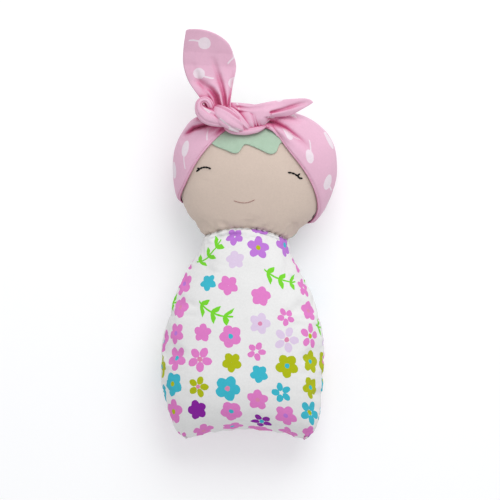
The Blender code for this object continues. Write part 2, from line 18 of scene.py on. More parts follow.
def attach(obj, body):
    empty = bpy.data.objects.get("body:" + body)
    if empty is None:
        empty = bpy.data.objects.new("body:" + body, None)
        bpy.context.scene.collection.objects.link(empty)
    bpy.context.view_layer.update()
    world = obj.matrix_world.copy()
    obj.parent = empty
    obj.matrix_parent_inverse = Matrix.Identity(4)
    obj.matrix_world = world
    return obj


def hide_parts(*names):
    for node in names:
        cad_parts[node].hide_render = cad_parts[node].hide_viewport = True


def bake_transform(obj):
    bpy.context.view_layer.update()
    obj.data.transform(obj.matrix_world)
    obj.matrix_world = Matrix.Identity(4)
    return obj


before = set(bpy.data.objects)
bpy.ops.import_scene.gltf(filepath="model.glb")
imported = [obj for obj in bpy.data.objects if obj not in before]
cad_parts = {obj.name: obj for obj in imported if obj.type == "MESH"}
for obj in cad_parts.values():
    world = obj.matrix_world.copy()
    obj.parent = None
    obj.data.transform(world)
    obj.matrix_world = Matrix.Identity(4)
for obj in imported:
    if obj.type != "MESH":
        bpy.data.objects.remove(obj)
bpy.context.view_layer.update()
MM = 0.001

# %% Putting objects into the scene
scene = bpy.context.scene


def add_object(name, data):
    """Puts a camera, a lamp or a mesh into the scene."""
    made = bpy.data.objects.new(name, data)
    scene.collection.objects.link(made)
    return made


def add_mesh(name, bm, *finishes):
    """Makes a smooth-shaded object of a bmesh."""
    mesh = bpy.data.meshes.new(name)
    bm.to_mesh(mesh)
    bm.free()
    mesh.shade_smooth()
    for finish in finishes:
        mesh.materials.append(finish)
    return add_object(name, mesh)


# %% [markdown]
# ## Camera
#
# The doll lies on its back and the camera looks straight down on it, so its face fills the upper
# half of a square picture. It lies turned 3 degrees in the picture. The lens is long and far away,
# so that the ear and the knot, which are nearer to it than the side seams, aren't drawn larger.

# %% Camera
SEAM_Z = 25.5 * MM  # height of the side seams, where the outline is widest
PICTURE_WIDTH = 312 * MM  # what the picture takes in at that height
CAMERA_HEIGHT = 5
CAMERA_TURN_DEG = 3
PICTURE_MIDDLE = (0.8 * MM, 63.1 * MM)

lens = bpy.data.cameras.new("camera")
lens.sensor_width = 36
lens.lens = lens.sensor_width * CAMERA_HEIGHT / PICTURE_WIDTH
lens.clip_start = 0.01
camera = add_object("camera", lens)
camera.location = (*PICTURE_MIDDLE, SEAM_Z + CAMERA_HEIGHT)
camera.rotation_euler = (0, 0, math.radians(CAMERA_TURN_DEG))
scene.camera = camera
print("focal length", round(lens.lens, 1), "mm")

# %% [markdown]
# ## Light
#
# A handmade toy is shown in soft daylight: a bright even sky with one large window beyond its head,
# a little to the right. A wide lamp gives the same soft grey shadow under the doll's base and left
# side, and the sky is kept below full strength so that white cotton doesn't clip.

# %% Light
SKY_STRENGTH = 0.7
WINDOW_POWER = 5.9
WINDOW_SIZE = 0.75
WINDOW_PLACE = Vector((0.2, 0.74, 0.82))
WINDOW_AIM = Vector((0, 0.06, 0))

scene.view_settings.view_transform = "Standard"
world = bpy.data.worlds.new("daylight")
world.use_nodes = True
scene.world = world
sky = world.node_tree.nodes["Background"]
sky.inputs["Color"].default_value = (0.97, 0.985, 1, 1)
sky.inputs["Strength"].default_value = SKY_STRENGTH

window = add_object("window", bpy.data.lights.new("window", "AREA"))
window.data.energy = WINDOW_POWER
window.data.size = WINDOW_SIZE
window.location = WINDOW_PLACE
window.rotation_euler = (WINDOW_AIM - WINDOW_PLACE).to_track_quat("-Z", "Y").to_euler()
print("window lamp", WINDOW_SIZE, "m wide")

# %% [markdown]
# ## Building materials from numbers that vary over a surface
#
# A cloth material is arithmetic on a position: how far along and across the cloth a point is
# decides its thread and its print. Written as separate nodes that arithmetic is long, so Field
# wraps one number output, and plus, minus and times on two fields add the Math node for them.

# %% Nodes
def put(tree, kind, inputs=None, **settings):
    """Adds a node. Each input is set to a value, or joined to another node's output."""
    made = tree.nodes.new(kind)
    for key, value in settings.items():
        setattr(made, key, value)
    for key, value in (inputs or {}).items():
        if isinstance(value, Field):
            value = value.socket
        if isinstance(value, bpy.types.NodeSocket):
            tree.links.new(value, made.inputs[key])
        else:
            made.inputs[key].default_value = value
    return made


print("nodes ready")

# %% Fields
class Field:
    """A number that varies over a surface."""

    def __init__(self, tree, socket):
        self.tree, self.socket = tree, socket

    def maths(self, operation, *values):
        inputs = dict(enumerate((self, *values)))
        made = put(self.tree, "ShaderNodeMath", inputs, operation=operation)
        return Field(self.tree, made.outputs[0])

    def __add__(self, other):
        return self.maths("ADD", other)

    def __sub__(self, other):
        return self.maths("SUBTRACT", other)

    def __mul__(self, other):
        return self.maths("MULTIPLY", other)

    def __truediv__(self, other):
        return self.maths("DIVIDE", other)

    def squared(self):
        return self.maths("MULTIPLY", self)

    def under(self, limit):
        return self.maths("LESS_THAN", limit)

    def within(self, limit):
        """Whether the number is nearer to 0 than limit, on either side."""
        return self.maths("ABSOLUTE").under(limit)

    def spread(self, low, high):
        """Runs from low to high as this field runs from 0 to 1."""
        return self.maths("MULTIPLY_ADD", high - low, low)

    def turned(self, other, angle):
        """This and other as the two coordinates of a point, turned by an angle in radians."""
        if isinstance(angle, Field):
            c, s = angle.maths("COSINE"), angle.maths("SINE")
        else:
            c, s = math.cos(angle), math.sin(angle)
        return self * c + other * s, other * c - self * s


def blotches(tree, size, detail=2, roughness=0.5):
    """Soft noise of about that size, from 0 to 1."""
    where = put(tree, "ShaderNodeTexCoord").outputs["Object"]
    inputs = {"Vector": where, "Scale": 1 / size, "Detail": detail, "Roughness": roughness}
    return Field(tree, put(tree, "ShaderNodeTexNoise", inputs).outputs["Fac"])


print("fields ready")

# %% Colours
def blended(tree, share, first, second, kind="MIX"):
    """A colour between two colours, or one darkened by the other for the kind MULTIPLY."""
    inputs = {0: share, 6: first, 7: second}
    return put(tree, "ShaderNodeMix", inputs, data_type="RGBA", blend_type=kind).outputs[2]


def ramp(tree, share, stops, steps=False):
    """A colour for each value of share, from (place, colour) stops."""
    made = put(tree, "ShaderNodeValToRGB", {"Fac": share})
    made.color_ramp.interpolation = "CONSTANT" if steps else "LINEAR"
    while len(made.color_ramp.elements) < len(stops):
        made.color_ramp.elements.new(0.5)
    for element, (place, colour) in zip(made.color_ramp.elements, stops):
        element.position, element.color = place, colour
    return made.outputs["Color"]


def paint(red, green, blue):
    """A screen colour, from 0 to 255 in each part, as the light that a shader works in."""
    def linear(part):
        part /= 255
        return part / 12.92 if part <= 0.04045 else ((part + 0.055) / 1.055) ** 2.4
    return linear(red), linear(green), linear(blue), 1


def new_finish(name, roughness, sheen=0.0):
    """A material with its tree and its shader, whose even values are set here once."""
    made = bpy.data.materials.new(name)
    made.use_nodes = True
    tree = made.node_tree
    shader = tree.nodes["Principled BSDF"]
    shader.inputs["Roughness"].default_value = roughness
    shader.inputs["Sheen Weight"].default_value = sheen
    shader.inputs["Sheen Roughness"].default_value = 0.5
    shader.inputs["Specular IOR Level"].default_value = 0.25
    return made, tree, shader


print("white is", paint(255, 255, 255)[:3])

# %% [markdown]
# ## Floor
#
# The picture's background is white paper. Its colour is nearly white by itself, and what the
# camera sees of it directly is lifted a little towards white, which keeps the doll's soft shadow
# without any more light on the doll.

# %% Floor
FLOOR_HALF = 1.5
FLOOR_LIFT = 0.2
FLOOR_GLOW = 1.4

paper, tree, shader = new_finish("white paper", 0.9)
shader.inputs["Base Color"].default_value = (0.93, 0.93, 0.94, 1)
shader.inputs["Specular IOR Level"].default_value = 0
glow = put(tree, "ShaderNodeEmission", {"Color": (1, 1, 1, 1), "Strength": FLOOR_GLOW})
path = put(tree, "ShaderNodeLightPath")
seen = Field(tree, path.outputs["Is Camera Ray"])
seen = seen.maths("MAXIMUM", path.outputs["Is Glossy Ray"])
seen = seen.maths("MAXIMUM", path.outputs["Is Transmission Ray"])
mixer = put(tree, "ShaderNodeMixShader", {0: seen * FLOOR_LIFT, 1: shader.outputs[0], 2: glow.outputs[0]})
tree.links.new(mixer.outputs[0], tree.nodes["Material Output"].inputs["Surface"])

bm = bmesh.new()
bmesh.ops.create_grid(bm, x_segments=1, y_segments=1, size=FLOOR_HALF)
floor = add_mesh("floor", bm, paper)
print("floor", 2 * FLOOR_HALF, "m wide")

# %% [markdown]
# ## The stuffed form
#
# Stuffing makes a flat bag round. Seen from above the doll is a pear with a ball on it; cut across
# anywhere it is an oval, deepest in the middle, that meets itself at the two side seams. So the
# form is a table of sizes along the doll, and a point on it is found from a distance along the
# doll and a turn round it. The sizes are the solids' own, but for the base, which is a little wider.

# %% Sizes along the doll
BASE_Y = -54.5 * MM
WIDEST_Y = -13.5 * MM
NECK_Y = 74.5 * MM
HEAD_WIDEST_Y = 114 * MM
CROWN_Y = 148 * MM
BODY = (50.5 * MM, 28 * MM, 26 * MM)  # half width, depth in front of the seams, depth behind them
NECK = (26.5 * MM, 19 * MM, 17 * MM)
HEAD = (46.5 * MM, 29 * MM, 23.4 * MM)
BASE_HALF_WIDTH = 36 * MM
BASE_ROUNDNESS = 1.8
SHOULDER_CURVE = 2.6
SHOULDER_DROP = 1.8
JAW_ROUNDNESS = 1.7
CROWN_ROUNDNESS = 2.5
BASE_HOLLOW = 5.5 * MM  # the base seam is drawn in between its corners
ROUNDNESS = 2.2  # of the oval: 2 is an ellipse, more is squarer
CHIN_EASE = 3.6 * MM  # how soon the head widens above the neck


def mix(a, b, share):
    return a + (b - a) * share


def rounded(share, power):
    """Rises from 0 to 1 steeply and then levels off, like a quarter of an oval."""
    return math.sqrt(max(0, 1 - (1 - share) ** power))


def superround(share, power):
    """Height of an oval of that power, from 1 in its middle to 0 at its side."""
    return max(0, 1 - min(1, share) ** power) ** (1 / power)


def bell(distance, width):
    """Falls smoothly from 1 at no distance to about a third at that width."""
    return math.exp(-((distance / width) ** 2))


def half_sizes(y, grow=0.0):
    """Half width and the depths in front and behind at y, with the surface moved out by grow."""
    body, neck, head = ([size + grow for size in sizes] for sizes in (BODY, NECK, HEAD))
    if y < WIDEST_Y:
        low = BASE_Y - grow
        share = min(1, max(0, (y - low) / (WIDEST_Y - low)))
        wide = mix(BASE_HALF_WIDTH + grow, body[0], rounded(share, BASE_ROUNDNESS))
        return wide, body[1] * rounded(share, 2), body[2] * rounded(share, 2)
    if y < NECK_Y:
        share = (1 - ((y - WIDEST_Y) / (NECK_Y - WIDEST_Y)) ** SHOULDER_CURVE) ** SHOULDER_DROP
        return [mix(n, b, share) for n, b in zip(neck, body)]
    if y < HEAD_WIDEST_Y:
        share = (y - NECK_Y) / (HEAD_WIDEST_Y - NECK_Y)
        chin = math.sin(math.pi / 2 * share)
        wide = rounded(share, JAW_ROUNDNESS) * (1 - math.exp((NECK_Y - y) / CHIN_EASE))
        return mix(neck[0], head[0], wide), mix(neck[1], head[1], chin), mix(neck[2], head[2], chin)
    share = (y - HEAD_WIDEST_Y) / (CROWN_Y + grow - HEAD_WIDEST_Y)
    wide, deep = superround(share, CROWN_ROUNDNESS), superround(share, ROUNDNESS)
    return head[0] * wide, head[1] * deep, head[2] * deep


print("body", round(2 * BODY[0] / MM), "mm wide, head", round(2 * HEAD[0] / MM), "mm wide")

# %% [markdown]
# A sewn doll is never quite straight. Its middle line leans a little, its base seam is askew and
# slightly wavy and is pulled up between its two corners, and the neck seam bows up over the chest
# because the cloth there has further to go.

# %% The form's own irregularities
LEAN_AT = (  # mm along, mm aside
    (-60, 4.6), (-49, 3.4), (-42, 2.6), (-34, 1.4), (-24, 0.4), (-12, 0), (20, 0), (50, -1.2), (72, -2),
    (90, -0.2), (108, 1.2), (150, 1.4))
BASE_ASKEW = 0.05  # rise of the base seam to the right
BASE_WAVE = (0.9 * MM, 7 * MM)  # height and length
NECK_BOW_UP = 2 * MM
NECK_BOW_DOWN = 6 * MM
NECK_BOW_REACH = (17 * MM, 4 * MM)  # below the seam and above it


def lean(y):
    """How far the middle line is to the right at y."""
    return float(np.interp(y / MM, *zip(*LEAN_AT))) * MM


def drawn_in(x, y):
    """How far the base's seam pulls a point up the doll."""
    middle = 1 - min(1, abs(x) / BASE_HALF_WIDTH) ** 2
    near = max(0, (WIDEST_Y - y) / (WIDEST_Y - BASE_Y))
    wave = BASE_WAVE[0] * noise.noise(Vector((x / BASE_WAVE[1], 0, 3)))
    return (BASE_HOLLOW * middle + BASE_ASKEW * x + wave) * near**3


def neck_bow(x, y):
    """How far the neck's seam bows a point up the doll."""
    low = NECK_BOW_DOWN * min(1, abs(x) / NECK[0]) ** 2
    return (NECK_BOW_UP - low) * bell(y - NECK_Y, NECK_BOW_REACH[y > NECK_Y])


def on_form(turn, y):
    """The point of the form at y, a share of a turn round it from its right seam by way of its front."""
    wide, front, back = half_sizes(y)
    c, s = math.cos(math.tau * turn), math.sin(math.tau * turn)
    power = 2 / ROUNDNESS
    x = math.copysign(wide * abs(c) ** power, c)
    z = math.copysign((front if s > 0 else back) * abs(s) ** power, s)
    return Vector((x + lean(y), y + drawn_in(x, y) + neck_bow(x, y), SEAM_Z + z))


def form_z(side, x, y, grow=0.0):
    """Height of the form at a point of the plan, on its front, its rear or the side between them."""
    wide, front, back = half_sizes(y, grow)
    depth = {"front": front, "side": 0, "rear": -back}[side]
    return SEAM_Z + depth * superround(abs(x - lean(y)) / max(wide, MM), ROUNDNESS)


print("front of the body at", round(form_z("front", 0, WIDEST_Y) / MM, 1), "mm")

# %% [markdown]
# ## One skin for body and head
#
# Body and head are pinned together while the doll is stuffed, so they are made as one skin: a grid
# rolled round the form, with a row of its corners on every seam. Its rows are close together where
# the shape turns quickly, at the base, the neck and the crown, and its columns near the side seams.
# The grid also carries each point's place on the flat cloth, which is what a print follows.

# %% Rows and columns of the skin
def stretch(low, high, steps, ease):
    """Steps from low to high, close together near low where ease is over 1. high itself is left out."""
    return [mix(low, high, (step / steps) ** ease) for step in range(steps)]


SEAM_CROWDING = 0.55
HALF_STEPS = 48
CROWN_FROM = 124 * MM
SKIN_ROWS = (  # from, to, steps, and how crowded they are towards the first end
    (BASE_Y, -30 * MM, 16, 2), (-30 * MM, 66.5 * MM, 48, 1), (66.5 * MM, NECK_Y, 8, 1),
    (NECK_Y, 84.5 * MM, 10, 1), (84.5 * MM, CROWN_FROM, 20, 1))
CROWN_ROWS = (CROWN_FROM, CROWN_Y, 18, 2)


def turn_at(step):
    """Shares of a turn, crowded towards the two side seams."""
    half, rest = divmod(step / HALF_STEPS, 1)
    return (half + rest - SEAM_CROWDING * math.sin(math.tau * rest) / math.tau) / 2


skin_ys = [y for rows in SKIN_ROWS for y in stretch(*rows)]
skin_ys += [CROWN_Y - (y - CROWN_FROM) for y in stretch(*CROWN_ROWS)]
skin_ys = sorted(set(skin_ys) | {CROWN_FROM, CROWN_Y})
skin_turns = [turn_at(step) for step in range(2 * HALF_STEPS + 1)]
print(len(skin_ys), "rows of", len(skin_turns))

# %% [markdown]
# The grid is made by one operator and its corners are then moved. A corner's place in the flat
# cloth is the length along the surface from the middle of its panel, so a printed flower keeps its
# size on the sides, where the camera sees it foreshortened.

# %% A grid with flat places
def flat_grid(columns, rows):
    """A grid as a bmesh, with a layer for its flat places and the column and row of each corner."""
    bm = bmesh.new()
    uv = bm.loops.layers.uv.new("flat")
    bmesh.ops.create_grid(bm, x_segments=columns, y_segments=rows, size=1)
    spot = {v: (round((v.co.x + 1) / 2 * columns), round((v.co.y + 1) / 2 * rows)) for v in bm.verts}
    return bm, uv, spot


print("a grid of 2 by 3 has", len(flat_grid(2, 3)[2]), "corners")

# %% Rolling a grid round the form
MERGE_WITHIN = 0.003 * MM
BACK_PRINT_SHIFT = 0.4  # the back panel is cut from another place of the cloth
FELT_FROM = 141 * MM  # the hair's felt comes forward over the crown to here
BODY_PANEL, FACE_PANEL, HAIR_PANEL = range(3)


def flat_places(turns, ys, place):
    """Each corner's distance across its panel and along it, by column and row, in front and behind."""
    middle = len(turns) // 2
    points = np.array([[place(turn, y) for y in ys] for turn in turns])
    steps = np.linalg.norm(np.diff(points, axis=0), axis=2)
    across = {}
    for panel, (first, last) in enumerate(((0, middle), (middle, len(turns) - 1))):
        run = np.concatenate([np.zeros((1, len(ys))), np.cumsum(steps[first:last], axis=0)])
        across[panel] = (run[-1] / 2 - run) * (1 if panel == 0 else -1)
    rise = np.linalg.norm(np.diff(points[middle // 2], axis=0), axis=1)
    ridge = np.concatenate([[0], np.cumsum(rise)])
    neck_row = np.argmin(np.abs(np.array(ys) - NECK_Y))
    ridge += ys[neck_row] - ridge[neck_row]
    return across, ridge


def rolled(turns, ys, place):
    """The closed skin as a bmesh, with its flat places as UVs and each face's panel as a number."""
    across, ridge = flat_places(turns, ys, place)
    middle = len(turns) // 2
    bm, uv, spot = flat_grid(len(turns) - 1, len(ys) - 1)
    panel_of = bm.faces.layers.int.new("panel")
    for face in bm.faces:
        behind = max(spot[v][0] for v in face.verts) > middle
        along = sum(ys[spot[v][1]] for v in face.verts) / 4
        above_neck = HAIR_PANEL if behind or along > FELT_FROM else FACE_PANEL
        face[panel_of] = BODY_PANEL if along < NECK_Y else above_neck
        for loop in face.loops:
            column, row = spot[loop.vert]
            u = across[behind][column - middle * behind][row]
            share = abs(math.sin(math.tau * turns[column]))
            loop[uv].uv = (u + BACK_PRINT_SHIFT * behind, mix(ys[row], ridge[row], share))
    for v, (column, row) in spot.items():
        v.co = place(turns[column], ys[row])
    bmesh.ops.remove_doubles(bm, verts=bm.verts, dist=MERGE_WITHIN)
    bmesh.ops.recalc_face_normals(bm, faces=bm.faces)
    return bm


print("skin of", (len(skin_ys) - 1) * (len(skin_turns) - 1), "faces before the stuffing goes in")

# %% [markdown]
# ## Stuffing it
#
# Fibre pushes the cloth out everywhere, while the seams hold it back, and the cloth between them
# creases. Blender's cloth does this: the seams are pinned, the cloth is given a little more length
# than the form needs, and pressure swells it. What is kept is how far each corner moved, capped so
# that the doll keeps its outline, and that movement is passed on to a finer grid.

# %% Pressing the stuffing in
STUFF_FRAMES = 20
STUFF_PRESSURE = 2.5
CLOTH_EASE = 0.03
MOST_SWELL = (1.7 * MM, 0.8 * MM)  # of the body and of the head
HELD_BY_SEAM = (0.05 * MM, 0.3 * MM)  # how near the side seams and the neck's seam the cloth is held


def neck_seam_gap(point):
    """Distance from the neck's seam, along the doll."""
    return abs(point.y - NECK_Y - neck_bow(point.x - lean(NECK_Y), NECK_Y))


def stuffed(bm):
    """Each corner's movement under pressure, by its place at rest."""
    by_side, by_neck = HELD_BY_SEAM
    held_at = [v.index for v in bm.verts if abs(v.co.z - SEAM_Z) < by_side or neck_seam_gap(v.co) < by_neck]
    pillow = add_mesh("stuffing trial", bm)
    pillow.vertex_groups.new(name="held").add(held_at, 1, "REPLACE")
    cloth = pillow.modifiers.new("stuffing", "CLOTH")
    settings = cloth.settings
    settings.quality = 6
    settings.mass = 0.15
    settings.tension_stiffness = settings.compression_stiffness = 12
    settings.shear_stiffness = 6
    settings.bending_stiffness = 0.4
    settings.use_pressure = True
    settings.uniform_pressure_force = STUFF_PRESSURE
    settings.shrink_min = -CLOTH_EASE
    settings.vertex_group_mass = "held"
    settings.effector_weights.gravity = 0
    cloth.collision_settings.use_collision = False
    rest = np.array([v.co for v in pillow.data.vertices])
    for step in range(1, STUFF_FRAMES + 1):
        scene.frame_set(step)
    swollen = pillow.evaluated_get(bpy.context.evaluated_depsgraph_get())
    moved = np.array([v.co for v in swollen.data.vertices]) - rest
    scene.frame_set(1)
    bpy.data.objects.remove(pillow)
    length = np.linalg.norm(moved, axis=1, keepdims=True)
    mean, most = (round(float(value) / MM, 2) for value in (length.mean(), length.max()))
    print("stuffing moved the cloth", mean, "mm, at most", most)
    cap = np.where(rest[:, 1:2] > NECK_Y, *reversed(MOST_SWELL))
    moved *= np.tanh(length / cap) * cap / np.maximum(length, 1e-9)
    return {tuple(np.round(at / MM, 2)): shift for at, shift in zip(rest, moved)}


shifts = np.zeros((len(skin_turns), len(skin_ys), 3))
movement = stuffed(rolled(skin_turns, skin_ys, on_form))
for column, turn in enumerate(skin_turns):
    for row, y in enumerate(skin_ys):
        at = tuple(np.round(np.array(on_form(turn, y)) / MM, 2))
        shifts[column, row] = movement.get(at, (0, 0, 0))

# %% [markdown]
# Each new corner of the finer grid moves as its neighbours do on average. A real seam is a sharp little
# valley, with short puckers running away from it where the thread has drawn the cloth up. These are
# narrower than the trial grid, so they are pressed into the fine one along its own normals.

# %% The finished skin, with its seams
SEAM_DEPTH = 0.7 * MM
SEAM_WIDTH = 0.8 * MM
NECK_SEAM_WIDTH = 1.3 * SEAM_WIDTH
PUCKER_DEPTH = 0.2 * MM
PUCKER_REACH = 5 * MM
PUCKER_SPACING = 5.5 * MM
NECK_SEAM_DEPTH = 1.1 * MM
NECK_PUCKER_DEPTH = 0.5 * MM
NECK_PUCKERS = 34
PUCKER_WANDER = (1.5, 18 * MM)  # how far they are out of step, and over what length


def halfway(grid, axis):
    """The grid with one more line between each two, along one axis."""
    grid = np.moveaxis(grid, axis, 0)
    made = np.zeros((2 * len(grid) - 1, *grid.shape[1:]))
    made[::2], made[1::2] = grid, (grid[1:] + grid[:-1]) / 2
    return np.moveaxis(made, 0, axis)


fine_turns, fine_ys = (halfway(np.array(values), 0).tolist() for values in (skin_turns, skin_ys))
fine_shifts = halfway(halfway(shifts, 0), 1)
fine_place = {(turn, y): on_form(turn, y) + Vector(fine_shifts[column, row])
              for column, turn in enumerate(fine_turns) for row, y in enumerate(fine_ys)}
skin = rolled(fine_turns, fine_ys, lambda turn, y: fine_place[turn, y])
skin.normal_update()


def seam_press(point):
    """How far a seam near this point pulls the cloth in."""
    side, across = abs(point.z - SEAM_Z), neck_seam_gap(point)
    along = (point.y + point.x) / PUCKER_SPACING
    wander = PUCKER_WANDER[0] * noise.noise(point / PUCKER_WANDER[1])
    pucker = PUCKER_DEPTH * math.sin(math.tau * (along + wander)) * math.exp(-side / PUCKER_REACH)
    deep = SEAM_DEPTH * bell(side, SEAM_WIDTH) + pucker * min(1, side / MM)
    turn = math.atan2(point.z - SEAM_Z, point.x) / math.tau
    gathers = math.sin(math.tau * (NECK_PUCKERS * turn + wander)) * math.exp(-across / PUCKER_REACH)
    return deep + NECK_SEAM_DEPTH * bell(across, NECK_SEAM_WIDTH) + NECK_PUCKER_DEPTH * gathers


for v in skin.verts:
    v.co -= v.normal * seam_press(v.co)
    v.co.z = max(v.co.z, 0)
print("fine skin has", len(skin.faces), "faces")

# %% [markdown]
# ## Cloth by the yard
#
# Everything sewn here is cotton in a plain weave, about two threads to a millimetre, or felt. Weave
# turns a flat place into the height of over-and-under threads, with painted shade where they dip,
# and slubs and patches give the colour a slight unevenness.

# %% Weave and first finishes
THREAD = 0.45 * MM
WEAVE_BUMP = 0.05 * MM
SLUB = 1.3 * MM  # a thick place in a thread
PATCH = 14 * MM
CLOTH_LIGHT = (0.7, 0.05, 0.12, 0.08)  # light of the cloth at least, and what the weave (painted shade between threads), slubs and patches add


def woven(u, v):
    """Height of a plain weave from 0 to 1, at a flat place in metres."""
    warp = (u * (math.pi / THREAD)).maths("SINE")
    weft = (v * (math.pi / THREAD)).maths("SINE")
    return (warp * weft).spread(0.5, 1)


def bumped(tree, shader, height, distance):
    """Lets a height shade a surface as if it stood up by that distance."""
    bump = put(tree, "ShaderNodeBump", {"Height": height, "Distance": distance, "Strength": 1})
    tree.links.new(bump.outputs[0], shader.inputs["Normal"])


def flat_of(tree):
    """The flat place of a shaded point, across and along the cloth."""
    place = put(tree, "ShaderNodeSeparateXYZ", {0: put(tree, "ShaderNodeUVMap", uv_map="flat").outputs[0]})
    return Field(tree, place.outputs[0]), Field(tree, place.outputs[1])


def woven_finish(name, colour_of, roughness=0.9, sheen=0.12, bump=WEAVE_BUMP):
    """A cloth whose colour is colour_of(tree, u, v), with painted shade between threads, and a little darker
    in patches.
    """
    made, tree, shader = new_finish(name, roughness, sheen)
    u, v = flat_of(tree)
    weave = woven(u, v)
    slubs = blotches(tree, SLUB, 3, 0.7)
    patches = blotches(tree, PATCH, 3)
    least, by_thread_shade, by_slubs, by_patches = CLOTH_LIGHT
    # The weave's share is painted shade between the threads; slubs and patches are the cloth's own uneven
    # tone.
    light = weave * by_thread_shade + slubs * by_slubs + patches * by_patches + least
    grey = put(tree, "ShaderNodeCombineColor", {0: light, 1: light, 2: light}).outputs[0]
    tree.links.new(blended(tree, 1.0, colour_of(tree, u, v), grey, "MULTIPLY"), shader.inputs["Base Color"])
    bumped(tree, shader, weave + slubs, bump)
    return made


def plain(*colour):
    """A colour_of for undyed or evenly dyed cloth."""
    return lambda tree, u, v: paint(*colour)


face_cotton = woven_finish("face cotton", plain(228, 208, 194), bump=0.08 * MM)
scarf_lining = woven_finish("scarf lining", plain(248, 222, 233))
print("plain cottons ready")

# %% [markdown]
# ## Prints
#
# Both prints are laid out in cells, and each column of cells is moved along by an amount of its own,
# which hides the rows. Each cell has its own three random shares, which choose its turn, size and
# kind, so no two flowers are alike, and the print needs no picture. The layouts are this script's
# own. Sprigs come first, because no flower is printed where one of them lies.

# %% Cells of a print
def cells(tree, u, v, across, along, jitter):
    """The place inside a cell of the lattice, in metres, and the cell's three random shares."""
    column = (u / across).maths("FLOOR")
    drop = put(tree, "ShaderNodeTexWhiteNoise", {"W": column}, noise_dimensions="1D").outputs["Value"]
    dropped = v / along + Field(tree, drop)
    row = dropped.maths("FLOOR")
    cell = put(tree, "ShaderNodeCombineXYZ", {0: column, 1: row, 2: 0.0}).outputs[0]
    chance = put(tree, "ShaderNodeTexWhiteNoise", {"Vector": cell}, noise_dimensions="3D").outputs["Color"]
    shares = [Field(tree, part) for part in put(tree, "ShaderNodeSeparateColor", {0: chance}).outputs[:3]]
    x = (u / across - column - 0.5) * across + (shares[0] - 0.5) * jitter
    y = (dropped - row - 0.5) * along + (shares[1] - 0.5) * jitter
    return x, y, shares


def hand_drawn(tree, x, y, size, amount):
    """Moves a place by soft noise, so that an edge drawn with it isn't quite true."""
    push = blotches(tree, size) - 0.5
    return x + push * amount, y - push * amount


def oval(x, y, half_long, half_wide):
    """Below 1 inside an ellipse about the place where x and y are 0."""
    return (x / half_long).squared() + (y / half_wide).squared()


print("cells ready")

# %% Sprigs
SPRIG_CELL = (43 * MM, 38 * MM)
SPRIG_SHIFT = 8 * MM
SPRIG_STRAY = 9 * MM
SPRIG_TURN = 0.9
SPRIG_BAND = (0.72, 0.22)  # where the sprigs are: middle and half height, as shares from base to neck
STEM_BEND = 22.0
STEM = (12 * MM, 0.6 * MM)  # half length and half width
LEAF = (4 * MM, 1.5 * MM)
LEAF_STEP = 4.1 * MM
LEAF_START = 1.6 * MM
LEAF_SLANT = 0.85
LEAVES_REACH = 11 * MM


def sprig_place(tree, u, v):
    """A place across and along the nearest sprig's bent stem, and whether that sprig is there."""
    x, y, (spin, _, _) = cells(tree, u, v - SPRIG_SHIFT, *SPRIG_CELL, SPRIG_STRAY)
    middle, half = SPRIG_BAND
    there = ((v - y - BASE_Y) / (NECK_Y - BASE_Y) - middle).within(half)
    x, y = x.turned(y, spin.spread(-SPRIG_TURN, SPRIG_TURN))
    return x, y - x.squared() * STEM_BEND, there


def sprig(tree, u, v):
    """Where a leafy sprig is printed: a thin stem with pairs of slanting leaves."""
    x, y, there = sprig_place(tree, *hand_drawn(tree, u, v, 5 * MM, 1.2 * MM))
    stem = y.within(STEM[1]) * x.within(STEM[0])
    step = (x + LEAF_START).maths("WRAP", LEAF_STEP, -LEAF_STEP)
    long, wide = step.turned(y.maths("ABSOLUTE"), LEAF_SLANT)
    leaf = oval(long - LEAF[0], wide, *LEAF).under(1.0) * x.within(LEAVES_REACH)
    return stem.maths("MAXIMUM", leaf) * there


print("sprigs every", round(SPRIG_CELL[0] / MM), "mm")

# %% Flowers
FLOWER_CELL = (18 * MM, 16 * MM)
FLOWER_RADIUS = (6 * MM, 8.8 * MM)
FLOWER_ROOM = 1.9  # radii across a flower, with its petals' tips
SPRIG_CLEAR = (18 * MM, 12.5 * MM)  # no flower has its middle within these of a sprig's middle
BAND_STRAY = (0.13, 0.06)  # how far its kind and its size move a flower along the bands
PETAL_TURN = math.pi / 5
PETAL_MIDDLE, PETAL_HALF_LENGTH, PETAL_HALF_WIDTH = (0.38, 0.6), (0.54, 0.36), (0.46, 0.27)  # full, loose
EYE_RADIUS = 0.19
EYE_FROM = 0.35  # smaller flowers have no eye
ORCHID, LILAC, PURPLE = paint(243, 137, 214), paint(238, 217, 245), paint(205, 130, 230)
OLIVE, TEAL, LEAF_GREEN = paint(190, 200, 10), paint(64, 198, 220), paint(130, 230, 50)
DEEP_PURPLE, ROSE = paint(150, 30, 172), paint(238, 146, 188)
BANDS = (  # share of the way from base to neck, and the colour of flowers that start there
    (0, ORCHID), (0.06, DEEP_PURPLE), (0.09, ORCHID), (0.17, TEAL), (0.25, OLIVE), (0.4, ORCHID),
    (0.5, LILAC), (0.56, ORCHID), (0.64, TEAL), (0.69, ORCHID), (0.77, LILAC), (0.86, ORCHID), (0.92, PURPLE))
CENTRES = ((0, TEAL), (0.3, ROSE), (0.62, PURPLE), (0.8, OLIVE))


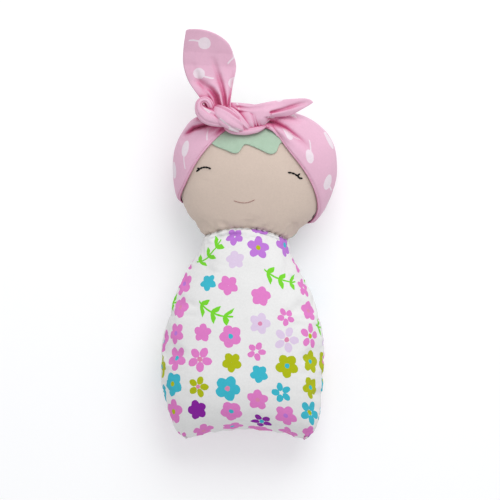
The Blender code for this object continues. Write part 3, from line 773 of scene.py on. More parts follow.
def floral(tree, u, v):
    """White cotton with five-petalled flowers, and here and there a leafy sprig."""
    x, y, (spin, size, kind) = cells(tree, u, v, *FLOWER_CELL, 0)
    radius = size.spread(*FLOWER_RADIUS)
    x = x + (spin - 0.5) * (radius * -FLOWER_ROOM + FLOWER_CELL[0])
    y = y + (kind - 0.5) * (radius * -FLOWER_ROOM + FLOWER_CELL[1])
    stem_x, stem_y, sprigged = sprig_place(tree, u - x, v - y)
    clear = oval(stem_x, stem_y, *SPRIG_CLEAR).under(1.0) * sprigged * -1.0 + 1.0
    zone = (v - y - BASE_Y) / (NECK_Y - BASE_Y) + (kind - 0.5) * BAND_STRAY[0] + (size - 0.5) * BAND_STRAY[1]
    x, y = hand_drawn(tree, x, y, 3 * MM, 1.1 * MM)
    x, y = x / radius, y / radius
    reach = (x.squared() + y.squared()).maths("SQRT")
    turn = (y.maths("ARCTAN2", x) + spin * math.tau).maths("WRAP", PETAL_TURN, -PETAL_TURN)
    along, aside = reach * turn.maths("COSINE"), reach * turn.maths("SINE")
    loose = kind.maths("SMOOTH_MIN", 1.0, 0.1)
    petal = ((along - loose.spread(*PETAL_MIDDLE)) / loose.spread(*PETAL_HALF_LENGTH)).squared()
    petal = (petal + (aside / loose.spread(*PETAL_HALF_WIDTH)).squared()).under(1.0)
    printed = blended(tree, petal * clear, paint(251, 250, 249), ramp(tree, zone, BANDS, steps=True))
    eye = reach.under(EYE_RADIUS) * size.maths("GREATER_THAN", EYE_FROM) * clear
    printed = blended(tree, eye, printed, ramp(tree, spin, CENTRES, steps=True))
    return blended(tree, sprig(tree, u, v), printed, LEAF_GREEN)


floral_cotton = woven_finish("floral cotton", floral, sheen=0.05)
print("floral cotton:", len(floral_cotton.node_tree.nodes), "nodes")

# %% [markdown]
# The scarf's pink cotton has pale spots, each with a thin curved stalk. Down in its folds pink cloth
# lights pink cloth, so the folds look a deeper and warmer pink than the flat parts; this is painted
# shade in the colour, from ambient occlusion read in the shader.

# %% Spots
SPOT_CELL = (23 * MM, 20 * MM)
SPOT_RADIUS = (3.6 * MM, 4.8 * MM)
SPOT_STRAY = 5 * MM
SPOT_INK = 0.85
STALK = (9.5 * MM, 0.55 * MM)  # length and half width
STALK_BEND = 30.0
SHADED_WITHIN = 8 * MM
SHADED_SPAN = (2.2, 0.12)  # how fast the painted shade deepens in a fold, and how much of the shading is left unpainted
# The third pink is painted shade, laid into folds where ambient occlusion finds them shaded.
PINK, SPOT_PINK, PAINTED_FOLD_SHADE = paint(244, 194, 218), paint(253, 242, 249), paint(222, 106, 154)


def spotted(tree, u, v):
    """Pink cotton with pale spots on stalks, with painted shade deeper in its folds."""
    x, y, (spin, size, _) = cells(tree, u, v, *SPOT_CELL, SPOT_STRAY)
    x, y = hand_drawn(tree, x, y, 6 * MM, 1.0 * MM)
    spot = (oval(x, y, 1.0, 0.94) / size.spread(*SPOT_RADIUS).squared()).under(1.0)
    along, aside = x.turned(y, spin * math.tau)
    stalk = (aside - along.squared() * STALK_BEND).within(STALK[1])
    stalk = stalk * along.maths("GREATER_THAN", 0.0) * along.under(STALK[0])
    printed = blended(tree, spot.maths("MAXIMUM", stalk) * SPOT_INK, PINK, SPOT_PINK)
    # Painted shade: where ambient occlusion finds the cloth shaded, in folds and under the knot, the colour
    # goes towards the fold pink.
    open_air = put(tree, "ShaderNodeAmbientOcclusion", {"Distance": SHADED_WITHIN}, samples=8)
    lit = Field(tree, open_air.outputs["AO"])
    deep = (lit * -1.0 + 1.0) * SHADED_SPAN[0] - SHADED_SPAN[1]
    return blended(tree, deep.maths("MAXIMUM", 0.0).maths("MINIMUM", 1.0), printed, PAINTED_FOLD_SHADE)


scarf_cotton = woven_finish("scarf cotton", spotted)
print("scarf cotton:", len(scarf_cotton.node_tree.nodes), "nodes")

# %% [markdown]
# Felt has no threads: it is a mat of fibres, so its colour is mottled and its surface fuzzy.

# %% Felt and threads
mint_felt, tree, shader = new_finish("mint felt", 1.0, 0.5)
fibres = blotches(tree, 0.5 * MM, 4, 0.7)
mottle = blotches(tree, 3 * MM, 4, 0.65)
tint = blended(tree, (fibres + mottle) * 0.5, paint(150, 176, 152), paint(186, 210, 189))
tree.links.new(tint, shader.inputs["Base Color"])
bumped(tree, shader, fibres, 0.12 * MM)

white_thread = woven_finish("white thread", plain(244, 240, 236), 0.6)
black_thread = woven_finish("black thread", plain(10, 9, 12), 0.8, 0)
rose_thread = woven_finish("rose thread", plain(160, 100, 96), 0.6)
print(len(bpy.data.materials), "finishes")

# %% [markdown]
# ## Cutting the skin along the neck
#
# The skin parts at the neck seam and, above it, at the side seams: floral cotton below, plain
# cotton for the face, felt for the back of the head, which is the doll's hair and comes forward over
# the crown. Each part is given the thickness of cloth inwards.

# %% Three covers
CLOTH_THICKNESS = 0.3 * MM


def settle(made):
    """Turns an object's modifiers into its mesh."""
    finished = bpy.data.meshes.new_from_object(made.evaluated_get(bpy.context.evaluated_depsgraph_get()))
    made.modifiers.clear()
    before, made.data = made.data, finished
    bpy.data.meshes.remove(before)
    return made


def thickened(made, thickness):
    """Gives a sheet its thickness, inwards."""
    thick = made.modifiers.new("thickness", "SOLIDIFY")
    thick.thickness = thickness
    thick.offset = -1
    return settle(made)


def hang(made, body, node, slot):
    """Lets a piece move with a body of the CAD model and stand for one of its nodes."""
    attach(made, body)
    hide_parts(node)


def cover(name, panel, finish):
    """One panel of the skin as a piece of its own."""
    part = skin.copy()
    panel_of = part.faces.layers.int["panel"]
    others = [face for face in part.faces if face[panel_of] != panel]
    bmesh.ops.delete(part, geom=others, context="FACES")
    return thickened(add_mesh(name, part, finish), CLOTH_THICKNESS)


body_cover = cover("body_cover", BODY_PANEL, floral_cotton)
face_cover = cover("face_cover", FACE_PANEL, face_cotton)
back_head_cover = cover("back_head_cover", HAIR_PANEL, mint_felt)
skin_tree = BVHTree.FromBMesh(skin)
skin.free()
print("covers of", *(len(made.data.polygons) for made in (body_cover, face_cover, back_head_cover)), "faces")

# %% What the covers stand for
NODES_IN_COVERS = {
    body_cover: ("body_front_panel", "body_back_panel", "body_stuffing", "body_side_seam", "neck_lower_cover",
                 "neck_stuffing"),
    face_cover: ("head_front_panel", "head_stuffing", "head_side_seam", "neck_upper_cover"),
    back_head_cover: ("head_back_panel",),
}
NECK_TURNS = {  # the bodies on both sides, where the bend starts and ends in mm along the doll, and the slot
    body_cover: ("torso", "neck", 48, 66, "floral_cotton"),
    face_cover: ("neck", "head", 77, 94, "face_cotton"),
    back_head_cover: ("neck", "head", 77, 94, "mint_felt"),
}
for made, (low, high, start, end, slot) in NECK_TURNS.items():
    start * MM
    end * MM
    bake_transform(made)
    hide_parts(*NODES_IN_COVERS[made])
    print(made.name, "bends from", start, "to", end, "mm")

# %% [markdown]
# ## The headscarf
#
# The scarf is a wide strip that goes from the knot on the forehead round the nape and back, turned
# in at its front edge. Its front edge and its back edge are drawn as points on the head, from the
# knot's left side round to its right, and the strip is what lies between them, a little off the
# head.

# %% The two edges of the strip
SCARF_OFF = 2.6 * MM
HEAD_MIDDLE = Vector((1.2 * MM, 114 * MM, SEAM_Z))
FAR_OUT = 90 * MM  # beyond the head on all sides
HALVINGS = 22  # enough to find the surface to within a thousandth of a millimetre
FORM_END = 0.01 * MM  # a cut across the form that is smaller has no inside
CORNER_CUTS = 3
FRONT_EDGE = (  # x, y and the side of the head: front, side or rear
    (-8, 141.5, "front"), (-16.9, 138.5, "front"), (-21.7, 134.5, "front"), (-27.6, 127.9, "front"),
    (-33.5, 120.1, "front"), (-37.5, 113, "front"), (-40.8, 105.3, "front"), (-43.2, 98.5, "front"),
    (-43.9, 91.6, "side"), (-39, 89.6, "rear"), (-25, 88.5, "rear"), (-8, 86.5, "rear"), (10, 85, "rear"),
    (27, 83.3, "rear"), (36, 81.6, "rear"), (40.4, 80.8, "side"), (41.9, 88.4, "front"),
    (41.9, 94.1, "front"), (40.7, 99, "front"), (37.9, 105.7, "front"), (33.8, 112.4, "front"),
    (29.1, 118.4, "front"), (23.1, 124.9, "front"), (18.4, 130.9, "front"), (13.8, 137, "front"),
    (8.4, 140.6, "front"), (2, 141, "front"))
BACK_EDGE = (
    (-10, 147, "front"), (-20, 147.4, "front"), (-27, 146.6, "side"), (-31, 141, "rear"), (-29, 135, "rear"),
    (-20, 131.8, "rear"), (-9, 131, "rear"), (3, 131.8, "rear"), (11, 135, "rear"), (13.5, 141, "rear"),
    (14, 149.6, "side"), (8, 149, "front"), (1, 147, "front"))


def inside_form(point, grow):
    """Whether a point is inside the form, with the form's surface moved out by grow."""
    y = point.y - neck_bow(point.x - lean(point.y), point.y)
    wide, front, back = half_sizes(y, grow)
    deep = front if point.z > SEAM_Z else back
    if min(wide, deep) < FORM_END:
        return False
    across, up = abs(point.x - lean(y)) / wide, abs(point.z - SEAM_Z) / deep
    return across**ROUNDNESS + up**ROUNDNESS < 1


def out_to_form(direction, grow):
    """Where a line from the head's middle leaves the form."""
    near, far = 0.0, FAR_OUT
    for _ in range(HALVINGS):
        middle = (near + far) / 2
        if inside_form(HEAD_MIDDLE + direction * middle, grow):
            near = middle
        else:
            far = middle
    return HEAD_MIDDLE + direction * near


def towards(x, y, side):
    """Direction from the head's middle of a point of the plan on one side of the head."""
    x, y = x * MM, y * MM
    return (Vector((x, y, form_z(side, x, y, SCARF_OFF))) - HEAD_MIDDLE).normalized()


def evenly(path, count):
    """Count points evenly along a path, with its corners rounded off."""
    points = np.array(path, float)
    for _ in range(CORNER_CUTS):
        cut = np.empty((2 * len(points) - 2, points.shape[1]))
        cut[::2] = points[:-1] * 0.75 + points[1:] * 0.25
        cut[1::2] = points[:-1] * 0.25 + points[1:] * 0.75
        points = np.concatenate([points[:1], cut, points[-1:]])
    along = np.concatenate([[0], np.cumsum(np.linalg.norm(np.diff(points, axis=0), axis=1))])
    wanted = np.linspace(0, along[-1], count)
    return np.stack([np.interp(wanted, along, column) for column in points.T], axis=1)


STRIP_STEPS = 280


def directions(edge):
    """Where an edge's points lie from the head's middle, evenly along it."""
    return [Vector(d).normalized() for d in evenly([towards(*point) for point in edge], STRIP_STEPS + 1)]


front_way, back_way = directions(FRONT_EDGE), directions(BACK_EDGE)
print("front edge from", FRONT_EDGE[0][:2], "to", FRONT_EDGE[-1][:2])

# %% [markdown]
# Pulled tight over a round head, the strip folds where it is gathered into the knot: one deep
# valley on each side, running away from the knot and fading over the crown, with softer ripples
# beside it. Between its edges it stands a little off the head, and its folded front edge curls down
# on the face. The valleys are cut straight down, because on the steep sides of the head a fold along
# the surface's own normal would not be seen from above.

# %% Folds of the strip
VALLEYS = (  # points of the plan in mm, depth at the knot, half width
    (((-26, 141), (-30, 139.1), (-37.5, 136.7), (-42.5, 132.3), (-45.6, 127)), 8, 1.4),
    (((3, 144.8), (7, 143.7), (12, 142.4), (19, 139.4), (28, 133), (36, 125.5)), 6, 1.4),
    (((9, 149), (17, 147), (28, 143.4)), 3, 0.9),
    (((-20, 138.5), (-25, 133.4), (-31, 127)), 1.6, 1.2),
    (((10, 141), (15.6, 135.6), (22, 128.5)), 1.8, 1.2))
BUNCHES = (  # where more cloth is gathered: the place in mm, how far it stands off and up, half width
    ((-34, 140, 30), 1.4, 4.5, 8), ((-22, 143, 38), 0.5, 2.5, 7), ((25, 142, 34), 0.2, 4, 8),
    ((12, 145, 38), -0.6, 3, 6))
FOLD_START = 7 * MM  # height above the side seams at which the folds have their full depth
FOLD_WIDENING = (0.75, 0.8)  # share of the width at the knot, and what is added to it along the fold
FOLD_FADE = 0.65
FOLD_ROLL = (0.5, 2.1, 1.5)  # height, place and half width of the roll beside a valley, in the valley's own


def from_path(x, y, path):
    """Distance from a path of the plan, signed by its side, and the share of the way along it."""
    best = (1e9, 0.0)
    for step, ((ax, ay), (bx, by)) in enumerate(zip(path, path[1:])):
        run, rise = bx - ax, by - ay
        share = min(1, max(0, ((x - ax) * run + (y - ay) * rise) / (run * run + rise * rise)))
        gap = math.hypot(x - ax - run * share, y - ay - rise * share)
        if gap < abs(best[0]):
            side = math.copysign(1, (x - ax) * rise - (y - ay) * run)
            best = (gap * side, (step + share) / (len(path) - 1))
    return best


def fold(x, y, path, depth, width):
    """A valley that widens as it fades, with a rounded roll of cloth on one side."""
    gap, share = from_path(x, y, path)
    width *= FOLD_WIDENING[0] + FOLD_WIDENING[1] * share
    near = bell(gap, width)
    fade = (1 - share) ** FOLD_FADE * (1 if 0 < share < 1 else near)
    height, place, half = FOLD_ROLL
    return depth * fade * (height * bell(gap - place * width, half * width) - near)


print(len(VALLEYS), "valleys and", len(BUNCHES), "bunches")

# %% The strip's surface
SCARF_LEAST = 1.5 * MM  # the strip never comes nearer to the head
STRIP_PUFF = (1.7 * MM, 0.7)  # height in the middle, and how early it is reached
EDGE_CURL = (1.6 * MM, 1 * MM)  # how far the front edge turns down, and how far in it starts to
HEM_AT = 1.3 * MM
HEM_DEPTH = 0.5 * MM
HEM_WIDTH = 0.35 * MM
RIPPLE = (0.5 * MM, 9, 0.12)  # height, radians across the strip, and share of its length they reach
RIPPLE_WANDER = (2.4, 14 * MM)
UNEVENNESS = (0.35 * MM, 11 * MM)  # height and length


def bunched(point):
    """The share of each bunch that there is at a point."""
    return [bell((point / MM - Vector(place)).length, half) for place, _, _, half in BUNCHES]


def strip_off(point, s, t, arc):
    """How far the strip stands off the head at a share s along it and t across it."""
    off = SCARF_OFF + STRIP_PUFF[0] * math.sin(math.pi * min(1, max(0, t))) ** STRIP_PUFF[1]
    off += MM * sum(rise * share for (_, rise, _, _), share in zip(BUNCHES, bunched(point)))
    height, turns, reach = RIPPLE
    wander = RIPPLE_WANDER[0] * noise.noise(point / RIPPLE_WANDER[1])
    off += height * math.sin(turns * t + wander) * math.exp(-min(s, 1 - s) / reach)
    off += UNEVENNESS[0] * noise.noise(point / UNEVENNESS[1])
    return off - HEM_DEPTH * bell(arc - HEM_AT, HEM_WIDTH) - EDGE_CURL[0] * bell(arc, EDGE_CURL[1])


def gathered_up(surface, placed):
    """How much higher the gathers and folds of the strip are than its smooth parts."""
    lift = sum(up * share for (_, _, up, _), share in zip(BUNCHES, bunched(surface)))
    above = min(1, max(0, (placed.z - SEAM_Z) / FOLD_START))
    if above:
        folds = sum(fold(placed.x / MM, placed.y / MM, *valley) for valley in VALLEYS)
        lift += folds * above**2 * (3 - 2 * above)
    return Vector((0, 0, lift * MM))


def outside_head(placed, least):
    """The place itself, or the nearest one straight out of the head that clears it."""
    if not inside_form(placed, least):
        return placed
    return out_to_form((placed - HEAD_MIDDLE).normalized(), least)


print("hem", round(HEM_AT / MM, 1), "mm behind the front edge")

# %% Strip and lining
HEAD_RADIUS = 45 * MM
STRIP_CROWDING = 1.6  # towards the front edge, where the hem is
STRIP_THICKNESS, LINING_THICKNESS = 0.6 * MM, 0.4 * MM
PRINT_AT = 0.3  # how far across the strip its length is measured for the print
LINING_OFF = 0.9 * MM
LINING_BACK = 1.0 * MM  # the lining ends this far behind the folded edge


def scarf_strip(name, finish, across, lining=False):
    """The strip or its lining as a sheet, with its flat place as UV."""
    bm, uv, spot = flat_grid(STRIP_STEPS, across)
    middle = [out_to_form(a.slerp(b, PRINT_AT), SCARF_OFF) for a, b in zip(front_way, back_way)]
    along = np.concatenate([[0], np.cumsum([(b - a).length for a, b in zip(middle, middle[1:])])])
    for v, (step, row) in spot.items():
        first, last = front_way[step], back_way[step]
        reach = first.angle(last) * HEAD_RADIUS
        arc = mix(LINING_BACK if lining else 0, reach, (row / across) ** STRIP_CROWDING)
        way = first.slerp(last, arc / reach)
        surface = out_to_form(way, 0)
        for loop in v.link_loops:
            loop[uv].uv = (arc, along[step])
        if lining:
            v.co = surface + way * LINING_OFF
        else:
            placed = surface + way * strip_off(surface, step / STRIP_STEPS, arc / reach, arc)
            v.co = outside_head(placed + gathered_up(surface, placed), SCARF_LEAST)
        v.co.z = max(v.co.z, 0)
    if sum((face.calc_center_median() - HEAD_MIDDLE).dot(face.normal) for face in bm.faces) < 0:
        bmesh.ops.reverse_faces(bm, faces=bm.faces)
    return add_mesh(name, bm, finish)


scarf_band = thickened(scarf_strip("scarf_band_cloth", scarf_cotton, 120), STRIP_THICKNESS)
scarf_inside = scarf_strip("scarf_lining_cloth", scarf_lining, 30, lining=True)
scarf_inside = thickened(scarf_inside, LINING_THICKNESS)
print("strip of", len(scarf_band.data.polygons), "faces")

# %% [markdown]
# ## The knot
#
# The strip's two ends cross over each other on the forehead. One end loops round on the left and
# comes back over the top as a broad band, and the other is gathered into pleats beside it. Each is
# cloth rolled up on itself, so each is a flattened roll along a path: narrower where it goes under
# another, with the fold lines of the gathered cloth running along it.

# %% A roll of cloth along a path
ROLL_ROUND = 72
ROLL_SQUARENESS = 2.2  # of its section: 2 is an ellipse
ROLL_END = 6  # how late it narrows towards its ends
ROLL_PRINT = 0.43  # the rolls are cut from another place of the cloth


def roll(path, steps, creases):
    """A closed roll as a bmesh. Path points are x, y, z, half width and half thickness, in mm.

    Each crease is a turn round the roll from its right side by way of its top, a depth and a half
    width in turns, and what part of its depth it has at the start and at the end."""
    line = evenly(path, steps + 1) * MM
    length = np.linalg.norm(line[-1, :3] - line[0, :3])
    bm, uv, spot = flat_grid(ROLL_ROUND, steps)
    for v, (column, step) in spot.items():
        turn = column / ROLL_ROUND
        x, y, z, wide, thick = line[step]
        before, after = line[max(0, step - 1)], line[min(steps, step + 1)]
        along = Vector(after[:3] - before[:3]).normalized()
        aside = along.cross(Vector((0, 0, 1))).normalized()
        over = aside.cross(along)
        share = step / steps
        cap = superround(abs(2 * share - 1) ** ROLL_END, 2)
        depth = sum(d * mix(first, last, share) * bell((turn - at + 0.5) % 1 - 0.5, half)
                    for at, d, half, first, last in creases) * MM
        c, s = math.cos(math.tau * turn), math.sin(math.tau * turn)
        out = 2 / ROLL_SQUARENESS
        reach_x = (wide * abs(c) ** out - depth * abs(c)) * math.copysign(1, c) * cap
        reach_z = (thick * abs(s) ** out - depth * abs(s)) * math.copysign(1, s) * cap
        for loop in v.link_loops:
            loop[uv].uv = (share * length + ROLL_PRINT, (turn - 0.25) * 4 * wide)
        v.co = Vector((x, y, z)) + aside * reach_x + over * reach_z
    bmesh.ops.remove_doubles(bm, verts=bm.verts, dist=MERGE_WITHIN)
    bmesh.ops.recalc_face_normals(bm, faces=bm.faces)
    return bm


def crumpled(bm, depth, size):
    """Uneven cloth: pushes every point out or in by soft noise."""
    bm.normal_update()
    for v in bm.verts:
        v.co += v.normal * depth * noise.noise(v.co / size)
    return bm


print("rolls of", ROLL_ROUND, "columns")

# %% The six rolls of the knot
ROLL_UNEVENNESS = (0.3 * MM, 6 * MM)  # height and length
ROLLS = {
    "knot_loop": ("scarf_knot_loop", 150, (
        (-8, 142, 50.5, 3, 2.4), (-14, 142, 53, 3.6, 3.2), (-20, 142.4, 54, 4.2, 3.6),
        (-25, 143.2, 54.2, 4.8, 4), (-29, 144.3, 54.2, 5.3, 4), (-32.2, 146, 54, 4.9, 4),
        (-34.4, 148.2, 53.8, 3.7, 3.8), (-35.6, 150.8, 53.6, 2.6, 3.6), (-35.2, 153.2, 53.4, 2.2, 3.4),
        (-33, 154.8, 53.4, 2.1, 3.2), (-30.4, 154.4, 53.6, 2.2, 3.2), (-29, 152.6, 53.8, 2.3, 3.2),
        (-28, 150.2, 53.4, 2.4, 2.8), (-27, 148, 51.5, 2, 2.2)),
        ((0.18, 1.1, 0.03, 1, 0.3), (0.36, 0.8, 0.025, 0.2, 1), (0.06, 0.7, 0.03, 0.5, 0.8))),
    "knot_wrap": ("scarf_knot_wrap", 110, (
        (-27.5, 148.6, 49, 3, 2.6), (-24.6, 147.8, 53, 4.6, 3.8), (-19.6, 145.2, 56, 6, 4.6),
        (-14.6, 142.2, 56.4, 5.8, 4.5), (-10, 139.6, 55, 4.6, 3.9), (-6.4, 137.4, 51.5, 3, 2.8)),
        ((0.37, 1.2, 0.012, 0.6, 1), (0.41, 1.2, 0.012, 1, 0.8), (0.28, 0.7, 0.03, 0, 1),
         (0.14, 1.2, 0.03, 0.1, 1))),
    "knot_ridge": ("scarf_knot_fold", 90, (
        (-18.6, 150, 50, 2.6, 2.4), (-15, 147.6, 54, 3.2, 3.2), (-10.8, 144.2, 55.6, 3, 3.2),
        (-7, 141, 55.2, 2.5, 2.8), (-4, 138.4, 53.2, 1.9, 2.2), (-2.6, 137, 51.5, 1.3, 1.6)),
        ((0.3, 0.7, 0.04, 1, 0.4), (0.15, 0.5, 0.03, 0.3, 1))),
    "knot_fan": ("scarf_knot_fold", 110, (
        (-4, 151, 49.6, 7.4, 2.2), (-3.4, 149, 51.8, 7.8, 2.8), (-2.6, 146.4, 53, 7.6, 3.4),
        (-1.4, 143, 53, 6.8, 3.6), (-0.4, 140, 51.6, 5.4, 3), (0.4, 138, 49, 4.2, 2)),
        ((0.43, 1.6, 0.024, 0.3, 1), (0.37, 3, 0.02, 0.4, 1.2), (0.31, 2.6, 0.018, 0.4, 1.1),
         (0.34, -0.9, 0.02, 0, 1), (0.26, 1.8, 0.016, 0.4, 1.1))),
    "knot_core": ("scarf_knot_under", 120, (
        (-36, 146, 38, 3, 4), (-32, 148.6, 42.6, 4, 5), (-27, 149.2, 44, 4.6, 5.6), (-20, 149.2, 45, 5, 6.4),
        (-12, 149.2, 46.4, 5, 6.4), (-3, 149, 46.4, 5, 6.2), (6, 148.2, 45.4, 4.6, 5.6),
        (14, 146.6, 42.6, 3.6, 4.4), (21, 144.6, 38, 2.6, 3)),
        ((0.55, 1.2, 0.03, 1, 0.4), (0.46, 1, 0.025, 0.3, 1), (0.62, 0.9, 0.03, 0.6, 1),
         (0.4, 0.8, 0.02, 1, 1))),
    "knot_under": ("scarf_knot_under", 110, (
        (-19.5, 140.4, 50, 1.6, 1.6), (-16.6, 138, 52.6, 2.5, 2), (-12, 136.8, 53.6, 2.9, 2.2),
        (-6, 136.5, 53.8, 2.7, 2.2), (0, 137.4, 53.4, 2.2, 2.1), (4.6, 139.4, 51.8, 1.5, 1.7),
        (7.6, 141.4, 48.6, 1, 1.2)), ((0.3, 0.5, 0.03, 1, 0.3),)),
}

knot_pieces = []
for name, (node, steps, path, creases) in ROLLS.items():
    piece = add_mesh(name, crumpled(roll(path, steps, creases), *ROLL_UNEVENNESS), scarf_cotton)
    knot_pieces.append(piece)
    hang(piece, "head", node, "scarf_cotton")
print("knot of", len(knot_pieces), "rolls")

# %% [markdown]
# ## Ear and tail
#
# The two free ends stand out of the knot. The longer one stands up like a hare's ear, broad in the
# middle with a pointed tip; the shorter one lies out to the right with its tip turned a little, so
# that some of the pale lining shows. Each is two layers sewn together round the edge, gathered into
# deep folds at its root.

# %% Outlines, heights and folds of the two ends, in mm
EAR_LEFT = ((-27.5, 146), (-31, 150.5), (-36, 156.8), (-40, 161.6), (-43.4, 166.4), (-46.3, 173.8),
            (-47.2, 180), (-47, 188.1), (-46, 196.8))
EAR_RIGHT = ((-16, 146), (-15.5, 150), (-16.1, 158.5), (-15.2, 164.8), (-14.2, 170.5), (-13.6, 175.5),
             (-14.1, 179.2), (-16.3, 185.4), (-19.1, 190.8), (-24.9, 194.9), (-31.3, 197.4), (-37.6, 198.3),
             (-43.8, 197.9))
EAR_HEIGHT = ((146, 50.5), (152, 51), (158, 50), (166, 47.5), (176, 48), (184, 51), (199, 60))
EAR_FOLDS = (
    (((-22.4, 147), (-23.4, 151.4), (-25.2, 157), (-28.5, 161), (-33, 164), (-39, 167)), 5.4, 1.4),
    (((-18.8, 147), (-19.2, 151.6), (-20.5, 157.8), (-22.6, 165), (-29, 182)), 4.6, 1.1),
    (((-17.4, 148), (-17.2, 155), (-16, 165), (-15.4, 174)), 2.6, 0.7),
    (((-26, 148), (-29.5, 156), (-36, 166), (-41, 178)), 1.2, 1.1))
TAIL_UPPER = ((-17, 153.4), (-13, 154.2), (-8, 153.2), (-1, 153.2), (5.3, 155), (14.6, 157.2),
              (23.9, 158.5), (30.1, 159.1), (33.6, 158.4), (35.2, 157))
TAIL_LOWER = ((-15, 148.4), (-11, 148), (-6, 147.2), (-1.6, 145.6), (0.2, 142.8), (0.6, 139.8), (2, 138.9),
              (4.4, 140), (6.4, 142), (8.6, 144.4), (11, 146.2), (15, 146.6), (21.3, 147.5), (27.4, 151.4),
              (34, 155.6), (35.2, 156.8))
TAIL_HEIGHT = ((-17, 51), (-8, 53), (0, 54), (5, 54), (9, 52.6), (14, 50.2), (20, 47.5), (36, 46))
TAIL_FOLDS = (
    (((9, 149), (16, 151.2), (26, 155), (33, 157)), 2.2, 0.9),
    (((-12, 151.4), (-4, 150.6), (6, 152.4), (18, 155.4)), 1, 1))
print("ear to", EAR_LEFT[-1], "and tail to", TAIL_LOWER[-1])

# %% A free end of the scarf
END_THICKNESS = 0.45  # in mm, as are the lengths below
END_BULGE = (1.6, 1.15)  # height in the middle, and how early along the end it is fullest
END_UNEVENNESS = (0.7, 9)  # height and length
EDGE_ROUND = 2.2  # how far in from the sewn edge the two layers part
EDGE_LIFT = 0.3  # share of their distance that they keep at the edge


def free_end(name, finish, sides, steps, height, creases, lift):
    """One layer of a free end between its two sides, as a sheet."""
    first, second = (evenly(side, steps[1] + 1) for side in sides)
    bm, uv, spot = flat_grid(*steps)
    for v, (column, row) in spot.items():
        across = column / steps[0]
        x, y = mix(first[row], second[row], across)
        edge = min(across, 1 - across) * math.dist(first[row], second[row])
        bulge = END_BULGE[0] * math.sin(math.pi * across)
        bulge *= math.sin(math.pi * min(1, row / steps[1] * END_BULGE[1]))
        z = height(x, y) + bulge + sum(fold(x, y, *crease) for crease in creases)
        z += END_UNEVENNESS[0] * noise.noise(Vector((x, y, lift)) / END_UNEVENNESS[1])
        puffed = superround(max(0, 1 - edge / EDGE_ROUND), 2)
        for loop in v.link_loops:
            loop[uv].uv = (x * MM, y * MM)
        v.co = Vector((x, y, z + lift * mix(EDGE_LIFT, 1, puffed))) * MM
    if sum(face.normal.z for face in bm.faces) * lift < 0:
        bmesh.ops.reverse_faces(bm, faces=bm.faces)
    return thickened(add_mesh(name, bm, finish), END_THICKNESS * MM)


print("free ends", END_THICKNESS, "mm thick")

# %% Ear and tail
ROOT_X, ROOT_Y = 4, 146  # the tail's root bends down in front of this y, and to the right of this x
ROOT_BEND = (6, 3)  # length of the bend to the front and to the right
ROOT_DROP = (2.6, 1.6)  # how much lower it is after that length


def ear_height(x, y):
    """The ear's height changes along it only."""
    return float(np.interp(y, *zip(*EAR_HEIGHT)))


def tail_height(x, y):
    """The tail's root bends down over the front of the knot and round its right side."""
    over = max(0, ROOT_Y - y) / ROOT_BEND[0]
    aside = max(0, x - ROOT_X) / ROOT_BEND[1] * (y < ROOT_Y)
    return float(np.interp(x, *zip(*TAIL_HEIGHT))) - ROOT_DROP[0] * over**2 - ROOT_DROP[1] * aside**2


EAR_SHAPE = ((EAR_LEFT, EAR_RIGHT), (70, 110), ear_height, EAR_FOLDS)
TAIL_SHAPE = ((TAIL_UPPER, TAIL_LOWER), (40, 90), tail_height, TAIL_FOLDS)
EAR_LIFT, TAIL_LIFT = 0.9, 0.8  # of each layer from the middle between the two
ear_front = free_end("ear_front_cloth", scarf_cotton, *EAR_SHAPE, EAR_LIFT)
ear_back = free_end("ear_back_cloth", scarf_lining, *EAR_SHAPE, -EAR_LIFT)
tail_front = free_end("tail_front_cloth", scarf_cotton, *TAIL_SHAPE, TAIL_LIFT)
tail_back = free_end("tail_back_cloth", scarf_lining, *TAIL_SHAPE, -TAIL_LIFT)
for made, body, start, end, node in (  # the bend from the head's body to the end's own, in mm
        (ear_front, "scarf_ear", (-22, 150, 50), (-27, 168, 50), "scarf_ear_front"),
        (ear_back, "scarf_ear", (-22, 150, 50), (-27, 168, 50), "scarf_ear_back"),
        (tail_front, "scarf_tail", (7, 151, 47), (16, 153, 47), "scarf_tail_front"),
        (tail_back, "scarf_tail", (7, 151, 47), (16, 153, 47), "scarf_tail_back")):
    [part * MM for part in start]
    [part * MM for part in end]
    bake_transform(made)
    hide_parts(node)
    "scarf_lining" if "back" in node else "scarf_cotton"
    print(made.name, [round(side / MM, 1) for side in made.dimensions])

# %% [markdown]
# ## Fringe and face
#
# The fringe is one cut of mint felt that comes out from under the knot. The eyes are shut: each is
# an arc of black thread with two short lashes and a second stitch at its outer corner, and the mouth
# is one fine curve of rose thread. All of them lie on the face cloth, so a ray is dropped on it at
# each of their points. The felt is cut into small squares first, so that it can bend with the face.

# %% Fringe
FRINGE = (  # the cut outline, in mm of the plan: its two lobes first, then the part under the scarf
    (-31, 133), (-25.6, 126.8), (-18.9, 124.9), (-14.4, 123.1), (-12, 122.5), (-10, 122.9), (-8.7, 124.2),
    (-7.2, 127.2), (-6, 128.6), (-4.4, 128.7), (-0.5, 127.5), (4.3, 125.6), (8, 123.9), (10.6, 123.2),
    (13, 123.9), (14.4, 125.4), (15, 128), (16.2, 130.6), (19, 131.8), (24, 133), (25, 138), (18, 144.4),
    (8, 147), (-6, 147), (-18, 145), (-27, 140.5))
FRINGE_SPAN = ((-31, 25), (122, 147))  # in mm across and along
FRINGE_POINTS = 200
FELT_NET = 1 * MM
FELT_LIFT = 1.3
FELT_UNEVENNESS = (0.25, 6 * MM)  # height in mm and length
FELT_THICKNESS = 1.1 * MM
RAY_FROM = 100  # mm, above everything


def on_face(x, y, lift):
    """The point of the face cloth under a point of the plan, raised by lift. All are in mm."""
    hit = skin_tree.ray_cast(Vector((x, y, RAY_FROM)) * MM, Vector((0, 0, -1)))[0]
    return hit + Vector((0, 0, lift * MM))


